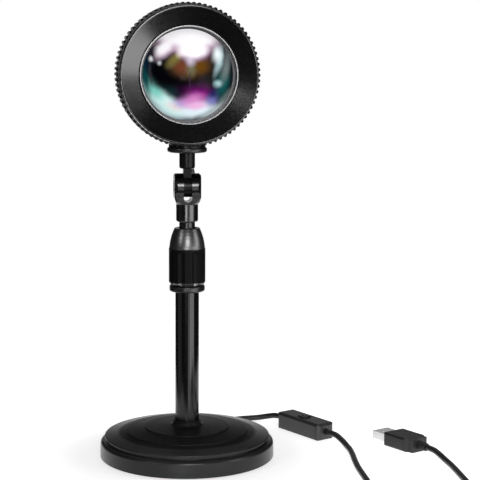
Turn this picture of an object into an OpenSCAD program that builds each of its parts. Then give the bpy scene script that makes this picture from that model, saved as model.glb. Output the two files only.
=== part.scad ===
// Sunset projection lamp on a weighted round base: telescoping pole, screw clamp,
// swivelling yoke, tilting projector head and a USB lead with an in-line switch.
// Millimetres, +Z up, the lamp faces -Y, origin at the centre of the base's underside.

/* [Base] */
// Diameter of the round base
base_d = 100; // [98:0.5:104]
// Height of the base's side band
band_h = 8; // [7.6:0.1:8.2]
// Height of the dome where it meets the hub of the pole
dome_top_z = 18.4; // [18:0.1:18.8]

/* [Pole] */
// Outer diameter of the fixed pole
tube_d = 13.7; // [13.4:0.1:13.9]
// Outer diameter of the rod that slides in the pole
rod_d = 9; // [8.8:0.1:9]
// Height of the rod's upper end when the rod is fully down
rod_top_z = 135.5; // [134:0.5:135.5]

/* [Clamp] */
// Diameter of the clamp nut across its grip
grip_d = 20.8; // [20.4:0.1:21.4]
// Number of finger flutes round the grip
flute_count = 8; // [6:1:8]
// Diameter of the fixed flange under the clamp nut
flange_d = 20.2; // [19.6:0.1:20.4]

/* [Tilt joint] */
// Height of the tilt axis
pivot_z = 156.1; // [156:0.1:156.4]
// Width of the yoke across its two ears
yoke_w = 15; // [14.6:0.1:15.4]
// Thickness of the tongue between the ears
tongue_t = 4.5; // [4.2:0.1:4.5]

/* [Head] */
// Height of the optical axis
head_z = 218.9; // [218.6:0.1:219.2]
// Diameter of the head over the tips of its ribs
head_d = 80.2; // [80:0.1:81]
// Number of cooling ribs round the head
rib_count = 80; // [72:1:90]
// Diameter of the bright rim round the front bezel
rim_d = 75.3; // [74.8:0.1:75.6]
// Diameter of the glass lens
lens_d = 52; // [51:0.1:52]
// How far the middle of the lens stands forward of the pole's axis
lens_reach = 24; // [22:0.5:26]

/* [Lead] */
// Diameter of the round lead
lead_d = 3.4; // [3.2:0.1:3.4]
// Turns in the coil of spare lead, half a turn more than a whole number
coil_turns = 6.5; // [4.5:1:6.5]
// Radius of the coil at the middle of its turns
coil_mean_r = 20.4; // [20.2:0.1:20.4]

/* [Switch] */
// Length of the in-line switch
switch_l = 40; // [39.8:0.1:40]
// Width of the in-line switch
switch_w = 13.4; // [13.2:0.1:13.8]
// Thickness of the in-line switch
switch_h = 10; // [9.6:0.2:10.4]
// Diameter of the push button
button_d = 6.4; // [6:0.2:6.8]

/* [Plug] */
// Width of the plug's moulded grip
plug_w = 16.4; // [16:0.2:16.8]
// Thickness of the plug's moulded grip
plug_h = 8; // [7.6:0.2:8.4]

/* [Hidden] */
$fn = 96;

// Running clearance between a turning or sliding part and its bore
run_gap = 0.05;
// Thickness of the metal shells
shell_t = 2.2;
// A little more than nothing, to cut right through a face
cut = 1;

// Base
base_r = base_d / 2;
pad_t = 1.2;
pad_r = base_r - 3.5;
plate_t = 1.5;
plate_z = pad_t;
skirt_z = 0.6;
shoulder_r = 2.4;
shoulder_z = band_h + shoulder_r - 0.1;
ledge_r = base_r - 2.6;
dome_edge_z = 12.9;
lip_r = 0.6;
groove_depth = 1;
hub_r = 7.9;
hub_z = 21.2;
fastener_ring_r = 36;
fastener_angles = [90, 210, 330];
m3_r = 1.5;
weight_h = 6.5;
weight_z = plate_z + plate_t + 0.2;

// Pole and clamp
tube_r = tube_d / 2;
tube_wall = 1;
tube_bore_r = tube_r - tube_wall;
tube_z = 8;
tube_top_z = 112;
collar_z = 96.4;
collar_flange_h = 3.5;
thread_r = 7.92;
thread_pitch = 1.6;
nut_z = 100.4;
nut_top_z = 132.6;
grip_top_z = 121;
grip_r = grip_d / 2;
nut_top_r = 7.3;
cone_bow = 0.5;
flute_r = 2.7;
flute_axis_r = grip_r + 1.7;

// Rod, swivel and tilt joint
rod_r = rod_d / 2;
rod_bore_r = 3.25;
rod_z = 28.6;
bush_h = 9.4;
pin_r = 3;
stem_r = 6.25;
stem_z = 136.1;
stem_top_z = 146.1;
ear_z = 150.1;
ear_r = 7.5;
slot_w = tongue_t + 2 * run_gap;
eye_z = 149.9;
pivot_r = 2;
tongue_r = 6;
tongue_waist_r = 3;
neck_r = 4.45;
neck_z = 166.3;
disc_z = 175.5;
disc_t = 2.8;
disc_r = 11.2;
boss_r = 10.4;
boss_top_z = 181.6;
stud_nut_z = 183.3;
stud_r = 2.55;

// Head, along Y: the front is negative
head_r = head_d / 2;
rib_h = 1;
rib_y = [-10.8, 20];
head_bore_r = 36;
web_y = [10.3, 13.3];
rim_r = rim_d / 2;
rim_y = -18.6;
dish_y = -13.8;
lens_r = lens_d / 2;
lens_y = [-3.4, -1.6];
dome_r = lens_r - 0.9;
dome_sag = lens_reach + lens_y[0];
dome_ball_r = (dome_r * dome_r + dome_sag * dome_sag) / (2 * dome_sag);
seat_r = lens_r + 1.3;
ring_wall = 0.85;
gasket_t = 0.8;
filter_r = 24.1;
filter_y = [-0.75, 1.15];
reflector_y = 2.05;
board_y = [8.2, 9.8];
driver_y = [15, 16.6];
wire_r = 0.6;
wire_bend_y = 17.9;
post_ring_r = 15;
led_ring_r = 15.4;
led_angles = [90, 270];
cover_y = 20;
cover_wall_y = 20.4;
post_y = 18.3;
rear_screw_r = 32.5;
rear_screw_angles = [90, 210, 330];
gland_z = 192;
gland_tip_y = 34;

// Coil of spare lead: one tube wound in and out again in two layers
lead_r = lead_d / 2;
coil_pitch = lead_d + 0.45;
coil_rings = 24;
coil_sides = 6;
tie_l = 6;
coil_in_turns = coil_turns / 2;
coil_in_r = coil_mean_r - coil_pitch * coil_in_turns / 2;
coil_out_r = coil_mean_r + coil_pitch * coil_in_turns / 2;
coil_low_z = lead_r + 0.6;
coil_high_z = coil_low_z + coil_pitch;
coil_near_x = 92.5;
coil_far_x = coil_near_x + 2 * coil_out_r;
coil_centre = [coil_near_x + coil_out_r, -126.4];

// Lead: routes as points picked by hand, the centre line of the round lead
upper_route = [
    [0, 34, 192], [0, 38, 192], [1, 43.5, 191], [2.2, 49, 188], [3.3, 54, 183],
    [4.5, 57.2, 176.5], [5.6, 58.6, 169], [7.6, 59, 160], [9.3, 59, 151],
    [9.7, 59, 144], [9.2, 59, 137], [7.9, 59, 129], [7.2, 59, 120], [6.6, 59, 110]
];
lower_route = [
    [6.6, 59, 110], [6, 59, 100], [5.4, 59, 90], [4.9, 59, 80], [4.7, 59, 70],
    [4.7, 59, 60], [4.7, 59, 50], [4.7, 59, 40], [4.7, 59, 30], [4.7, 59, 24]
];
switch_route = [
    [4.7, 59, 24], [4.7, 59, 20], [6.2, 59.2, 12.5], [10.2, 60, 6.2], [16.5, 61.2, 2.6],
    [24, 64.4, 1.8], [32, 68.2, 1.8], [40, 71.2, 1.8], [47.6, 72.2, 1.9], [52.3, 71.6, 2.4],
    [56.6, 69.8, 3.4], [60.3, 66.9, 4.5], [63.2, 63.3, 5], [66, 58.45, 5]
];
coil_route = [
    [86, 23.75, 5], [89, 18.6, 5], [90.8, 15.2, 4.8], [93.2, 9.6, 3.2], [94.6, 3, 1.9],
    [95, -5, 1.8], [94.6, -14, 1.8], [93.8, -23, 1.8], [93.1, -32, 1.8], [92.6, -41, 1.8],
    [coil_near_x, -50, 1.8], [coil_near_x, -60, 1.8], [coil_near_x, -70, 1.8],
    [coil_near_x, -80, 1.8], [coil_near_x, -90, 1.8], [coil_near_x, -100, 2],
    [coil_near_x, -110, 2.2], [coil_near_x, -118, coil_low_z],
    [coil_near_x, -123, coil_low_z]
];
plug_route = [
    [coil_far_x, -123, coil_high_z], [coil_far_x, -116, 6.1], [coil_far_x, -106, 5],
    [coil_far_x, -96, 3.2], [coil_far_x, -87, 2.1], [coil_far_x, -77, 1.8],
    [coil_far_x, -67, 1.8], [coil_far_x, -57, 1.8], [145.8, -48, 1.8], [145.6, -40, 1.8],
    [145, -32, 1.9], [143.8, -24.6, 2.7], [142.1, -18.8, 3.7], [140, -14.38, 4],
    [138.82, -12.33, 4]
];

// Switch and plug: place on the table and turn about Z
switch_at = [76, 41.1];
switch_turn = -60;
split_z = switch_h / 2;
switch_wall = 1.4;
button_r = button_d / 2;
button_well_r = 4.6;
button_at = -0.5;
plug_at = [138.8, -12.3];
plug_turn = 120;
boot_l = 5.6;
taper_l = 6;
grip_l = 16.4;
shell_l = 12;
shell_w = 12;
shell_h = 4.5;
shell_wall = 0.35;

// ---------------------------------------------------------------- helpers

function unit(v) = v / norm(v);

// Tangent of a route at one of its points
function heading(path, i) =
    unit(path[min(i + 1, len(path) - 1)] - path[max(i - 1, 0)]);

// Points of an arc in the plane of a turned profile, from angle a0 to a1
function arc(centre, r, a0, a1, steps = 6) =
    [for (i = [0:steps]) let (a = a0 + (a1 - a0) * i / steps)
        centre + r * [cos(a), sin(a)]];

// Points from p to q in a line that bows to its right by so much at the middle
function bowed(p, q, rise, steps = 6) = let (out = unit([p[1] - q[1], q[0] - p[0]]))
    [for (i = [0:steps]) let (t = i / steps) p + (q - p) * t + 4 * rise * t * (1 - t) * out];

// Round tube swept along a route, with flat ends
module swept_tube(path, r, sides, across) {
    last = len(path) - 1;
    rings = [for (i = [0:last]) let (
            t = heading(path, i),
            side = unit(cross(across, t)),
            up = cross(t, side))
        for (k = [0:sides - 1]) let (a = 360 * k / sides)
            path[i] + r * (cos(a) * side + sin(a) * up)];
    walls = [for (i = [0:last - 1], k = [0:sides - 1]) let (
            a = i * sides + k,
            b = i * sides + (k + 1) % sides)
        each [[a, b, b + sides], [a, b + sides, a + sides]]];
    first_cap = [[for (k = [sides - 1:-1:0]) k]];
    last_cap = [[for (k = [0:sides - 1]) last * sides + k]];
    polyhedron(rings, concat(walls, first_cap, last_cap));
}

// Solid turned about the optical axis from a profile of [radius, y] points
module turned_head(profile) {
    translate([0, 0, head_z]) rotate([-90, 0, 0]) rotate_extrude() polygon(profile);
}

// Flat shape drawn in [x, z] about the optical axis, given depth from y0 to y1
module along_y(y0, y1) {
    translate([0, y0, head_z]) rotate([-90, 0, 0]) linear_extrude(y1 - y0)
        mirror([0, 1]) children();
}

module disc_y(r, y0, y1) {
    along_y(y0, y1) circle(r);
}

// Copies placed round the optical axis at radius r
module head_ring(r, angles) {
    for (a = angles) translate([r * cos(a), 0, r * sin(a)]) children();
}

// Copies placed round the pole at radius r
module base_ring(r, angles) {
    for (a = angles) translate([r * cos(a), r * sin(a), 0]) children();
}

// Pan-head screw standing on its head, with a cross recess in the head
module screw(head_r, head_h, shank_r, length) {
    difference() {
        union() {
            cylinder(r = head_r, h = head_h);
            cylinder(r = shank_r, h = head_h + length);
        }
        for (a = [0, 90]) rotate([0, 0, a])
            translate([-head_r * 0.6, -head_r * 0.12, -cut])
                cube([head_r * 1.2, head_r * 0.24, cut + head_h * 0.5]);
    }
}

// Rectangle with round corners
module round_rect(w, h, r) {
    square([w - 2 * r, h], center = true);
    square([w, h - 2 * r], center = true);
    for (x = [-1, 1], y = [-1, 1])
        translate([x * (w / 2 - r), y * (h / 2 - r)]) circle(r);
}

module at_switch() {
    translate([switch_at[0], switch_at[1], 0]) rotate([0, 0, switch_turn]) children();
}

module at_plug() {
    translate([plug_at[0], plug_at[1], 0]) rotate([0, 0, plug_turn]) children();
}

// ------------------------------------------------------------------- base

module foot_pad() {
    color("dimgray") difference() {
        cylinder(r = pad_r, h = pad_t);
        translate([0, 0, -cut]) cylinder(r = 8, h = pad_t + 2 * cut);
        base_ring(fastener_ring_r, fastener_angles)
            translate([0, 0, -cut]) cylinder(r = 3.2, h = pad_t + 2 * cut);
    }
}

module base_plate() {
    color("silver") translate([0, 0, plate_z]) difference() {
        cylinder(r = base_r - shell_t - 0.2, h = plate_t);
        base_ring(fastener_ring_r, fastener_angles)
            translate([0, 0, -cut]) cylinder(r = m3_r + 0.2, h = plate_t + 2 * cut);
    }
}

module base_screws() {
    color("silver") base_ring(fastener_ring_r, fastener_angles)
        translate([0, 0, 0.2]) screw(2.7, pad_t - 0.2, m3_r - run_gap, 7);
}

module base_weight() {
    color("gray") translate([0, 0, weight_z]) difference() {
        cylinder(r = ledge_r - shell_t - 0.6, h = weight_h);
        translate([0, 0, -cut]) cylinder(r = 10.8, h = weight_h + 2 * cut);
        base_ring(fastener_ring_r, fastener_angles)
            translate([0, 0, -cut]) cylinder(r = 4.4, h = weight_h + 2 * cut);
    }
}

// Outer line of the cover, from the pole down to the foot of the side band
cover_line = concat(
    [[tube_r + run_gap, hub_z], [hub_r - 0.4, hub_z]],
    arc([hub_r - 0.4, hub_z - 0.4], 0.4, 90, 0, 3),
    arc([hub_r + 1.8, dome_top_z + 1.8], 1.8, 180, 268, 6),
    [[23.9, 17.6]],
    arc([23.9, 17.3], 0.3, 90, 0, 3),
    [[24.25, 17.1], [34.7, 15.75]],
    arc([34.7, 15.35], 0.4, 82, 0, 3),
    [[35.15, 14.95]],
    arc([ledge_r - lip_r, dome_edge_z - lip_r], lip_r, 78, 0, 6),
    [[ledge_r - groove_depth, dome_edge_z - lip_r - 0.3]],
    [[ledge_r - groove_depth, shoulder_z]],
    arc([base_r - shoulder_r - 0.1, shoulder_z - shoulder_r], shoulder_r, 88, 12, 6),
    [[base_r, band_h / 2], [base_r, skirt_z + 0.3], [base_r - 0.3, skirt_z]]
);

// Hollow of the cover, a wall's thickness inside the outer line
cover_hollow = [
    [0, -cut], [base_r - shell_t, -cut], [base_r - shell_t, band_h - 0.6],
    [ledge_r - shell_t, shoulder_z - 1.4], [ledge_r - shell_t, dome_edge_z - 2.6],
    [34.6, 12.7], [24, 14.9], [12, dome_top_z - 2.6], [0, dome_top_z - 2.6]
];

module base_cover() {
    color("#141416") difference() {
        union() {
            difference() {
                rotate_extrude() polygon(concat([[0, skirt_z], [0, hub_z]], cover_line));
                rotate_extrude() polygon(cover_hollow);
            }
            translate([0, 0, 6]) cylinder(r = 9.8, h = 11);
            base_ring(fastener_ring_r, fastener_angles)
                translate([0, 0, weight_z]) cylinder(r = 3.6, h = 10.2);
        }
        translate([0, 0, tube_z]) cylinder(r = tube_r + run_gap, h = hub_z);
        translate([0, 0, -cut]) cylinder(r = 2.6, h = hub_z);
        base_ring(fastener_ring_r, fastener_angles)
            translate([0, 0, -cut]) cylinder(r = m3_r, h = 9 + cut);
    }
}

module pole_screw() {
    color("silver") difference() {
        union() {
            translate([0, 0, 3]) cylinder(r = 4.4, h = 2, $fn = 6);
            translate([0, 0, 4]) cylinder(r = 2.45, h = 14.5);
        }
        translate([0, 0, 3 - cut]) cylinder(r = 1.4, h = cut + 1.2, $fn = 6);
    }
}

module pole_washer() {
    color("silver") translate([0, 0, 5]) difference() {
        cylinder(r = 5.6, h = 1);
        translate([0, 0, -cut]) cylinder(r = 2.6, h = 1 + 2 * cut);
    }
}

// ------------------------------------------------------- pole and its clamp

module tube_insert() {
    color("gainsboro") translate([0, 0, tube_z + 0.05]) difference() {
        cylinder(r = tube_bore_r - run_gap, h = 12);
        translate([0, 0, -cut]) cylinder(r = 2.5, h = 12 + 2 * cut);
    }
}

module outer_tube() {
    color("#101012") translate([0, 0, tube_z]) difference() {
        cylinder(r = tube_r, h = tube_top_z - tube_z);
        translate([0, 0, -cut]) cylinder(r = tube_bore_r, h = tube_top_z);
    }
}

// Flanged sleeve pressed on the pole, with the thread that carries the clamp nut
collar_line = concat(
    [[tube_r + run_gap, collar_z], [flange_d / 2 - 0.9, collar_z]],
    arc([flange_d / 2 - 0.9, collar_z + 0.9], 0.9, -90, 0, 4),
    arc([flange_d / 2 - 0.9, collar_z + collar_flange_h - 0.9], 0.9, 0, 90, 4),
    [[thread_r - 0.7, collar_z + collar_flange_h]],
    [for (i = [0:7]) let (z = collar_z + collar_flange_h + 0.4 + i * thread_pitch)
        each [[thread_r - 0.7, z], [thread_r, z + thread_pitch * 0.4],
            [thread_r, z + thread_pitch * 0.5]]],
    [[thread_r - 0.7, tube_top_z], [tube_r + run_gap, tube_top_z]]
);

module clamp_collar() {
    color("#18181a") rotate_extrude() polygon(collar_line);
}

module collet() {
    color("whitesmoke") difference() {
        rotate_extrude() polygon([
            [rod_r + run_gap, tube_top_z + 0.1], [7, tube_top_z + 0.1],
            [7, tube_top_z + 1.6], [5.6, tube_top_z + 10], [rod_r + run_gap, tube_top_z + 10]
        ]);
        for (a = [0, 90]) rotate([0, 0, a + 45])
            translate([-10, -0.4, tube_top_z + 3]) cube([20, 0.8, 10]);
    }
}

// Outer line of the clamp nut, from its rod hole up and round to its thread
nut_line = concat(
    [[rod_r + 0.35, tube_top_z + 10.4], [rod_r + 0.35, nut_top_z]],
    [[nut_top_r - 0.3, nut_top_z]],
    bowed([nut_top_r, nut_top_z - 0.3], [grip_r - 0.2, grip_top_z + 0.3], cone_bow),
    [[grip_r, grip_top_z - 0.1], [grip_r, nut_z + 1.3], [grip_r - 1, nut_z]],
    [[thread_r + 0.08, nut_z], [thread_r + 0.08, tube_top_z + 0.3]],
    [[7.35, tube_top_z + 0.4], [7.35, tube_top_z + 1.7], [5.95, tube_top_z + 10.4]]
);

module clamp_nut() {
    color("#121214") difference() {
        rotate_extrude() polygon(nut_line);
        for (i = [0:flute_count - 1]) rotate([0, 0, 360 * (i + 0.5) / flute_count - 90])
            translate([flute_axis_r, 0, 0]) {
                translate([0, 0, nut_z - cut])
                    cylinder(r = flute_r, h = grip_top_z - flute_r - nut_z + cut, $fn = 32);
                translate([0, 0, grip_top_z - flute_r]) sphere(flute_r, $fn = 32);
            }
    }
}

// --------------------------------------------------- rod, swivel and yoke

module mast_rod() {
    color("#1c1c1f") translate([0, 0, rod_z]) difference() {
        cylinder(r = rod_r, h = rod_top_z - rod_z);
        translate([0, 0, -cut]) cylinder(r = rod_bore_r, h = rod_top_z);
    }
}

module rod_bush() {
    color("whitesmoke") translate([0, 0, rod_z]) difference() {
        cylinder(r = tube_bore_r - 2 * run_gap, h = bush_h);
        translate([0, 0, -cut]) cylinder(r = rod_r + run_gap, h = bush_h + 2 * cut);
    }
}

module rod_cap() {
    color("dimgray") translate([0, 0, rod_z - 2]) {
        cylinder(r = tube_bore_r - 0.25, h = 2);
        cylinder(r = rod_bore_r - run_gap, h = 2 + bush_h);
    }
}

module swivel_pin() {
    groove_z = stem_z + 3.5;
    color("silver") rotate_extrude() polygon([
        [0, rod_top_z - 15], [rod_bore_r - run_gap, rod_top_z - 15],
        [rod_bore_r - run_gap, rod_top_z], [pin_r, rod_top_z], [pin_r, groove_z],
        [pin_r - 0.5, groove_z + 0.5], [pin_r - 0.5, groove_z + 2.7], [pin_r, groove_z + 3.2],
        [pin_r, stem_z + 8.8], [0, stem_z + 8.8]
    ]);
}

module swivel_washer() {
    color("whitesmoke") translate([0, 0, rod_top_z]) difference() {
        cylinder(r = 4.3, h = stem_z - rod_top_z - run_gap);
        translate([0, 0, -cut]) cylinder(r = pin_r + run_gap, h = 3);
    }
}

// Front outline of the yoke above its stem, drawn in [x, z]
module yoke_front() {
    polygon([
        [-stem_r, stem_top_z], [stem_r, stem_top_z], [yoke_w / 2, ear_z],
        [yoke_w / 2, pivot_z + ear_r - 0.8], [yoke_w / 2 - 0.8, pivot_z + ear_r],
        [0.8 - yoke_w / 2, pivot_z + ear_r], [-yoke_w / 2, pivot_z + ear_r - 0.8],
        [-yoke_w / 2, ear_z]
    ]);
}

// Side outline of the yoke above its stem, drawn in [y, z]
module yoke_side() {
    translate([0, pivot_z]) circle(ear_r);
    polygon([
        [-stem_r, stem_top_z], [stem_r, stem_top_z], [stem_r, pivot_z], [-stem_r, pivot_z]
    ]);
}

module yoke() {
    color("#161618") difference() {
        union() {
            intersection() {
                translate([0, 10, 0]) rotate([90, 0, 0]) linear_extrude(20) yoke_front();
                translate([-10, 0, 0]) rotate([90, 0, 90]) linear_extrude(20) yoke_side();
                rotate_extrude() polygon([
                    [0, stem_top_z], [stem_r, stem_top_z], [8, stem_top_z + 1.6],
                    [9.4, ear_z], [9.4, pivot_z + 9], [0, pivot_z + 9]
                ]);
            }
            rotate_extrude() polygon([
                [0, stem_z], [stem_r - 0.9, stem_z], [stem_r - 0.3, stem_z + 0.3],
                [stem_r, stem_z + 0.9], [stem_r, stem_top_z], [0, stem_top_z]
            ]);
        }
        translate([-slot_w / 2, -10, eye_z]) cube([slot_w, 20, 20]);
        translate([0, 10, eye_z]) rotate([90, 0, 0]) cylinder(r = slot_w / 2, h = 20);
        translate([-10, 0, pivot_z]) rotate([0, 90, 0]) cylinder(r = pivot_r + run_gap, h = 20);
        for (side = [-1, 1]) translate([side * (yoke_w / 2 - 2.4), 0, pivot_z])
            rotate([0, side * 90, 0]) cylinder(r = 3.6, h = 3);
        translate([0, 0, stem_z - cut]) cylinder(r = pin_r + run_gap, h = cut + 9.2);
        translate([0, 0, stem_z + 5.1]) rotate([-90, 0, 0]) cylinder(r = 1.25, h = 8);
    }
}

module yoke_grub_screw() {
    color("silver") translate([0, pin_r - 0.45, stem_z + 5.1]) rotate([-90, 0, 0])
        difference() {
            cylinder(r = 1.2, h = 3.3);
            translate([0, 0, 2.3]) cylinder(r = 0.6, h = 2, $fn = 6);
        }
}

module pivot_screw() {
    color("silver") translate([-yoke_w / 2 + 0.2, 0, pivot_z]) rotate([0, 90, 0])
        screw(3.5, 2.1, pivot_r, yoke_w - 2.9);
}

module pivot_nut() {
    color("silver") translate([yoke_w / 2 - 2.35, 0, pivot_z]) rotate([0, 90, 0])
        difference() {
            cylinder(r = 3.5, h = 2.1, $fn = 6);
            translate([0, 0, -cut]) cylinder(r = pivot_r + run_gap, h = 5);
        }
}

// ------------------------------------------------------ neck under the head

module neck() {
    color("#141416") difference() {
        union() {
            translate([-tongue_t / 2, 0, 0]) rotate([90, 0, 90]) linear_extrude(tongue_t) {
                translate([0, pivot_z]) circle(tongue_r);
                polygon([
                    [-tongue_waist_r, pivot_z], [tongue_waist_r, pivot_z],
                    [tongue_waist_r, neck_z + 1], [-tongue_waist_r, neck_z + 1]
                ]);
            }
            rotate_extrude() polygon([
                [0, neck_z], [neck_r - 0.9, neck_z], [neck_r - 0.25, neck_z + 0.3],
                [neck_r, neck_z + 1], [neck_r, disc_z], [0, disc_z]
            ]);
        }
        translate([-10, 0, pivot_z]) rotate([0, 90, 0]) cylinder(r = pivot_r + run_gap, h = 20);
        translate([0, 0, neck_z + 2]) cylinder(r = stud_r + run_gap, h = 20);
    }
}

module neck_stud() {
    color("silver") translate([0, 0, neck_z + 2.2]) cylinder(r = stud_r, h = 20);
}

module stud_nut() {
    color("silver") translate([0, 0, stud_nut_z]) difference() {
        cylinder(r = 4.6, h = 3.6, $fn = 6);
        translate([0, 0, -cut]) cylinder(r = stud_r + run_gap, h = 6);
    }
}

module flange_disc() {
    color("#151517") rotate_extrude() polygon(concat(
        [[stud_r + run_gap, disc_z], [disc_r - 1.2, disc_z]],
        arc([disc_r - 1.2, disc_z + 1.2], 1.2, -90, 0, 5),
        arc([disc_r - 0.8, disc_z + disc_t - 0.8], 0.8, 0, 90, 4),
        [[stud_r + run_gap, disc_z + disc_t]]
    ));
}

module head_boss() {
    color("#141416") translate([0, 0, disc_z + disc_t]) difference() {
        cylinder(r = boss_r, h = boss_top_z - disc_z - disc_t);
        translate([0, 0, -cut]) cylinder(r = stud_r + run_gap, h = 10);
    }
}

// -------------------------------------------------------------------- head

// Ribbed outline of the head: four points to a rib
module rib_outline() {
    step = 360 / rib_count;
    rib = [[-0.36, -rib_h], [-0.18, 0], [0.18, 0], [0.36, -rib_h]];
    polygon([for (i = [0:rib_count - 1], corner = rib)
        let (a = (i + corner[0]) * step) (head_r + corner[1]) * [cos(a), sin(a)]]);
}

module head_housing() {
    color("#0e0e10") difference() {
        union() {
            intersection() {
                along_y(rib_y[0], rib_y[1]) difference() {
                    rib_outline();
                    circle(head_bore_r);
                }
                turned_head([
                    [0, rib_y[0]], [head_r - 1.1, rib_y[0]], [head_r + 0.2, rib_y[0] + 1.3],
                    [head_r + 0.2, rib_y[1] - 1.3], [head_r - 1.1, rib_y[1]], [0, rib_y[1]]
                ]);
            }
            disc_y(head_bore_r + 0.5, web_y[0], web_y[1]);
            head_ring(rear_screw_r, rear_screw_angles) disc_y(2.6, web_y[1] - 0.5, post_y);
            head_ring(post_ring_r, [0, 180]) disc_y(2.4, web_y[1] - 0.5, driver_y[0]);
        }
        translate([0, 0, disc_z]) cylinder(r = boss_r, h = boss_top_z - disc_z);
        translate([0, 0, disc_z]) cylinder(r = stud_r + run_gap, h = 12);
        disc_y(2.2, web_y[0] - cut, web_y[1] + cut);
        head_ring(rear_screw_r, rear_screw_angles) disc_y(1.25, web_y[1] + 0.6, cover_y);
        head_ring(post_ring_r, [0, 180]) disc_y(1, web_y[1] - 1, driver_y[0] + cut);
        head_ring(led_ring_r, led_angles) disc_y(1.25, web_y[0] - cut, web_y[1] - 0.4);
    }
}

bezel_line = concat(
    [[38.5, rib_y[0] - 0.1], [38.3, rim_y + 2]],
    arc([rim_r - 0.1, rim_y + 0.6], 0.6, 0, -90, 6),
    [[rim_r - 0.6, rim_y + 0.15], [seat_r, dish_y], [seat_r, lens_y[0]]],
    [[lens_r + 0.25, lens_y[0]], [lens_r + 0.25, filter_y[0] - 0.05]],
    [[filter_r + 0.1, filter_y[0] - 0.05], [filter_r + 0.1, filter_y[1] + 0.05]],
    [[22.5, filter_y[1] + 0.05], [22.5, reflector_y - 0.05]],
    [[29.6, reflector_y - 0.05], [29.6, -11.9]],
    [[34.4, -14.4], [34.4, -6.5], [head_bore_r - run_gap, -6.5]],
    [[head_bore_r - run_gap, rib_y[0] - 0.1]]
);

module front_bezel() {
    color("#1b1b1e") turned_head(bezel_line);
}

// Ring round the glass: a thin wall proud of the dish, on a foot that holds the flange
ring_line = let (out_r = seat_r - run_gap, in_r = seat_r - ring_wall, front = dish_y - 0.8)
    concat(
        [[out_r, lens_y[0] - 0.05], [out_r, front + 0.2]],
        arc([out_r - 0.2, front + 0.2], 0.2, 0, -90, 3),
        arc([in_r + 0.2, front + 0.2], 0.2, -90, -180, 3),
        [[in_r, lens_y[0] - 1.2], [dome_r + 0.2, lens_y[0] - 1.2]],
        [[dome_r + 0.2, lens_y[0] - 0.05]]
    );

module lens_retainer() {
    color("#2a2a2e") turned_head(ring_line);
}

module lens_glass() {
    color("#9fd8e6") {
        intersection() {
            translate([0, dome_ball_r - lens_reach, head_z]) sphere(dome_ball_r);
            disc_y(lens_r, -lens_reach - cut, lens_y[0] + 0.5);
        }
        disc_y(lens_r, lens_y[0], lens_y[1]);
    }
}

module lens_gasket() {
    color("black") along_y(lens_y[1], lens_y[1] + gasket_t) difference() {
        circle(lens_r + 0.2);
        circle(lens_r - 1.4);
    }
}

module colour_filter() {
    color("#c05a9a") disc_y(filter_r, filter_y[0], filter_y[1]);
}

module reflector() {
    color("gainsboro") turned_head([
        [20.8, reflector_y], [24, reflector_y], [24, reflector_y + 0.85],
        [22, reflector_y + 0.85], [11, board_y[0] - 0.05], [10, board_y[0] - 0.05]
    ]);
}

module led_chip() {
    color("khaki") along_y(board_y[0] - 0.8, board_y[0]) round_rect(8, 8, 0.8);
}

module ir_receiver() {
    color("#301c28") translate([0, 0, 7.2]) {
        along_y(board_y[0] - 1.8, board_y[0]) square([3.6, 3], center = true);
        translate([0, board_y[0] - 1.8, head_z]) sphere(1.2, $fn = 32);
    }
}

module led_board() {
    color("white") difference() {
        disc_y(18.5, board_y[0], board_y[1]);
        head_ring(led_ring_r, led_angles) disc_y(1.4, board_y[0] - cut, board_y[1] + cut);
    }
}

module led_screws() {
    color("silver") head_ring(led_ring_r, led_angles)
        translate([0, board_y[0] - 0.9, head_z]) rotate([-90, 0, 0]) screw(2, 0.9, 1.2, 4);
}

module thermal_pad() {
    color("lightsteelblue") difference() {
        disc_y(18, board_y[1], web_y[0]);
        disc_y(2.4, board_y[1] - cut, web_y[0] + cut);
        head_ring(led_ring_r, led_angles) disc_y(1.5, board_y[1] - cut, web_y[0] + cut);
    }
}

// Driver board with its chip, inductor, capacitor and two fixing screws
module driver_board() {
    color("seagreen") {
        along_y(driver_y[0], driver_y[1]) circle(20);
        along_y(driver_y[1], driver_y[1] + 1) {
            translate([-6, 6]) square([5, 6], center = true);
            translate([7, 5]) square([6, 6], center = true);
            for (x = [-post_ring_r, post_ring_r]) translate([x, 0]) circle(2);
        }
        along_y(driver_y[1], driver_y[1] + 1.6) translate([2, -9]) circle(2.6);
    }
}

// Wires from the driver board to the LED board, and from the gland to the driver
module head_wires() {
    color("firebrick") {
        for (x = [-0.9, 0.9]) translate([x, 0, 0]) {
            disc_y(wire_r, board_y[1] + 0.02, driver_y[0] - 0.02);
            translate([0, 0, gland_z - head_z])
                disc_y(wire_r, wire_bend_y, cover_y - 1.5);
            translate([0, wire_bend_y, gland_z - 0.8]) cylinder(r = wire_r, h = 12);
            translate([0, 0, gland_z + 10.4 - head_z])
                disc_y(wire_r, driver_y[1] + 0.02, wire_bend_y);
        }
    }
}

rear_line = [
    [0, cover_wall_y], [34.2, cover_wall_y], [34.2, cover_y - 1.6],
    [head_bore_r - run_gap, cover_y - 1.6], [head_bore_r - run_gap, cover_y],
    [38.9, cover_y], [38.7, cover_y + 1.2], [37.9, cover_y + 2.1], [36.6, cover_y + 2.6],
    [30, cover_y + 3], [13, cover_y + 3.2], [12.6, cover_y + 2.8], [0, cover_y + 2.8]
];
vent_angles = [for (i = [0:23]) if (abs(i * 15 - 270) > 25) i * 15];

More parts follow.
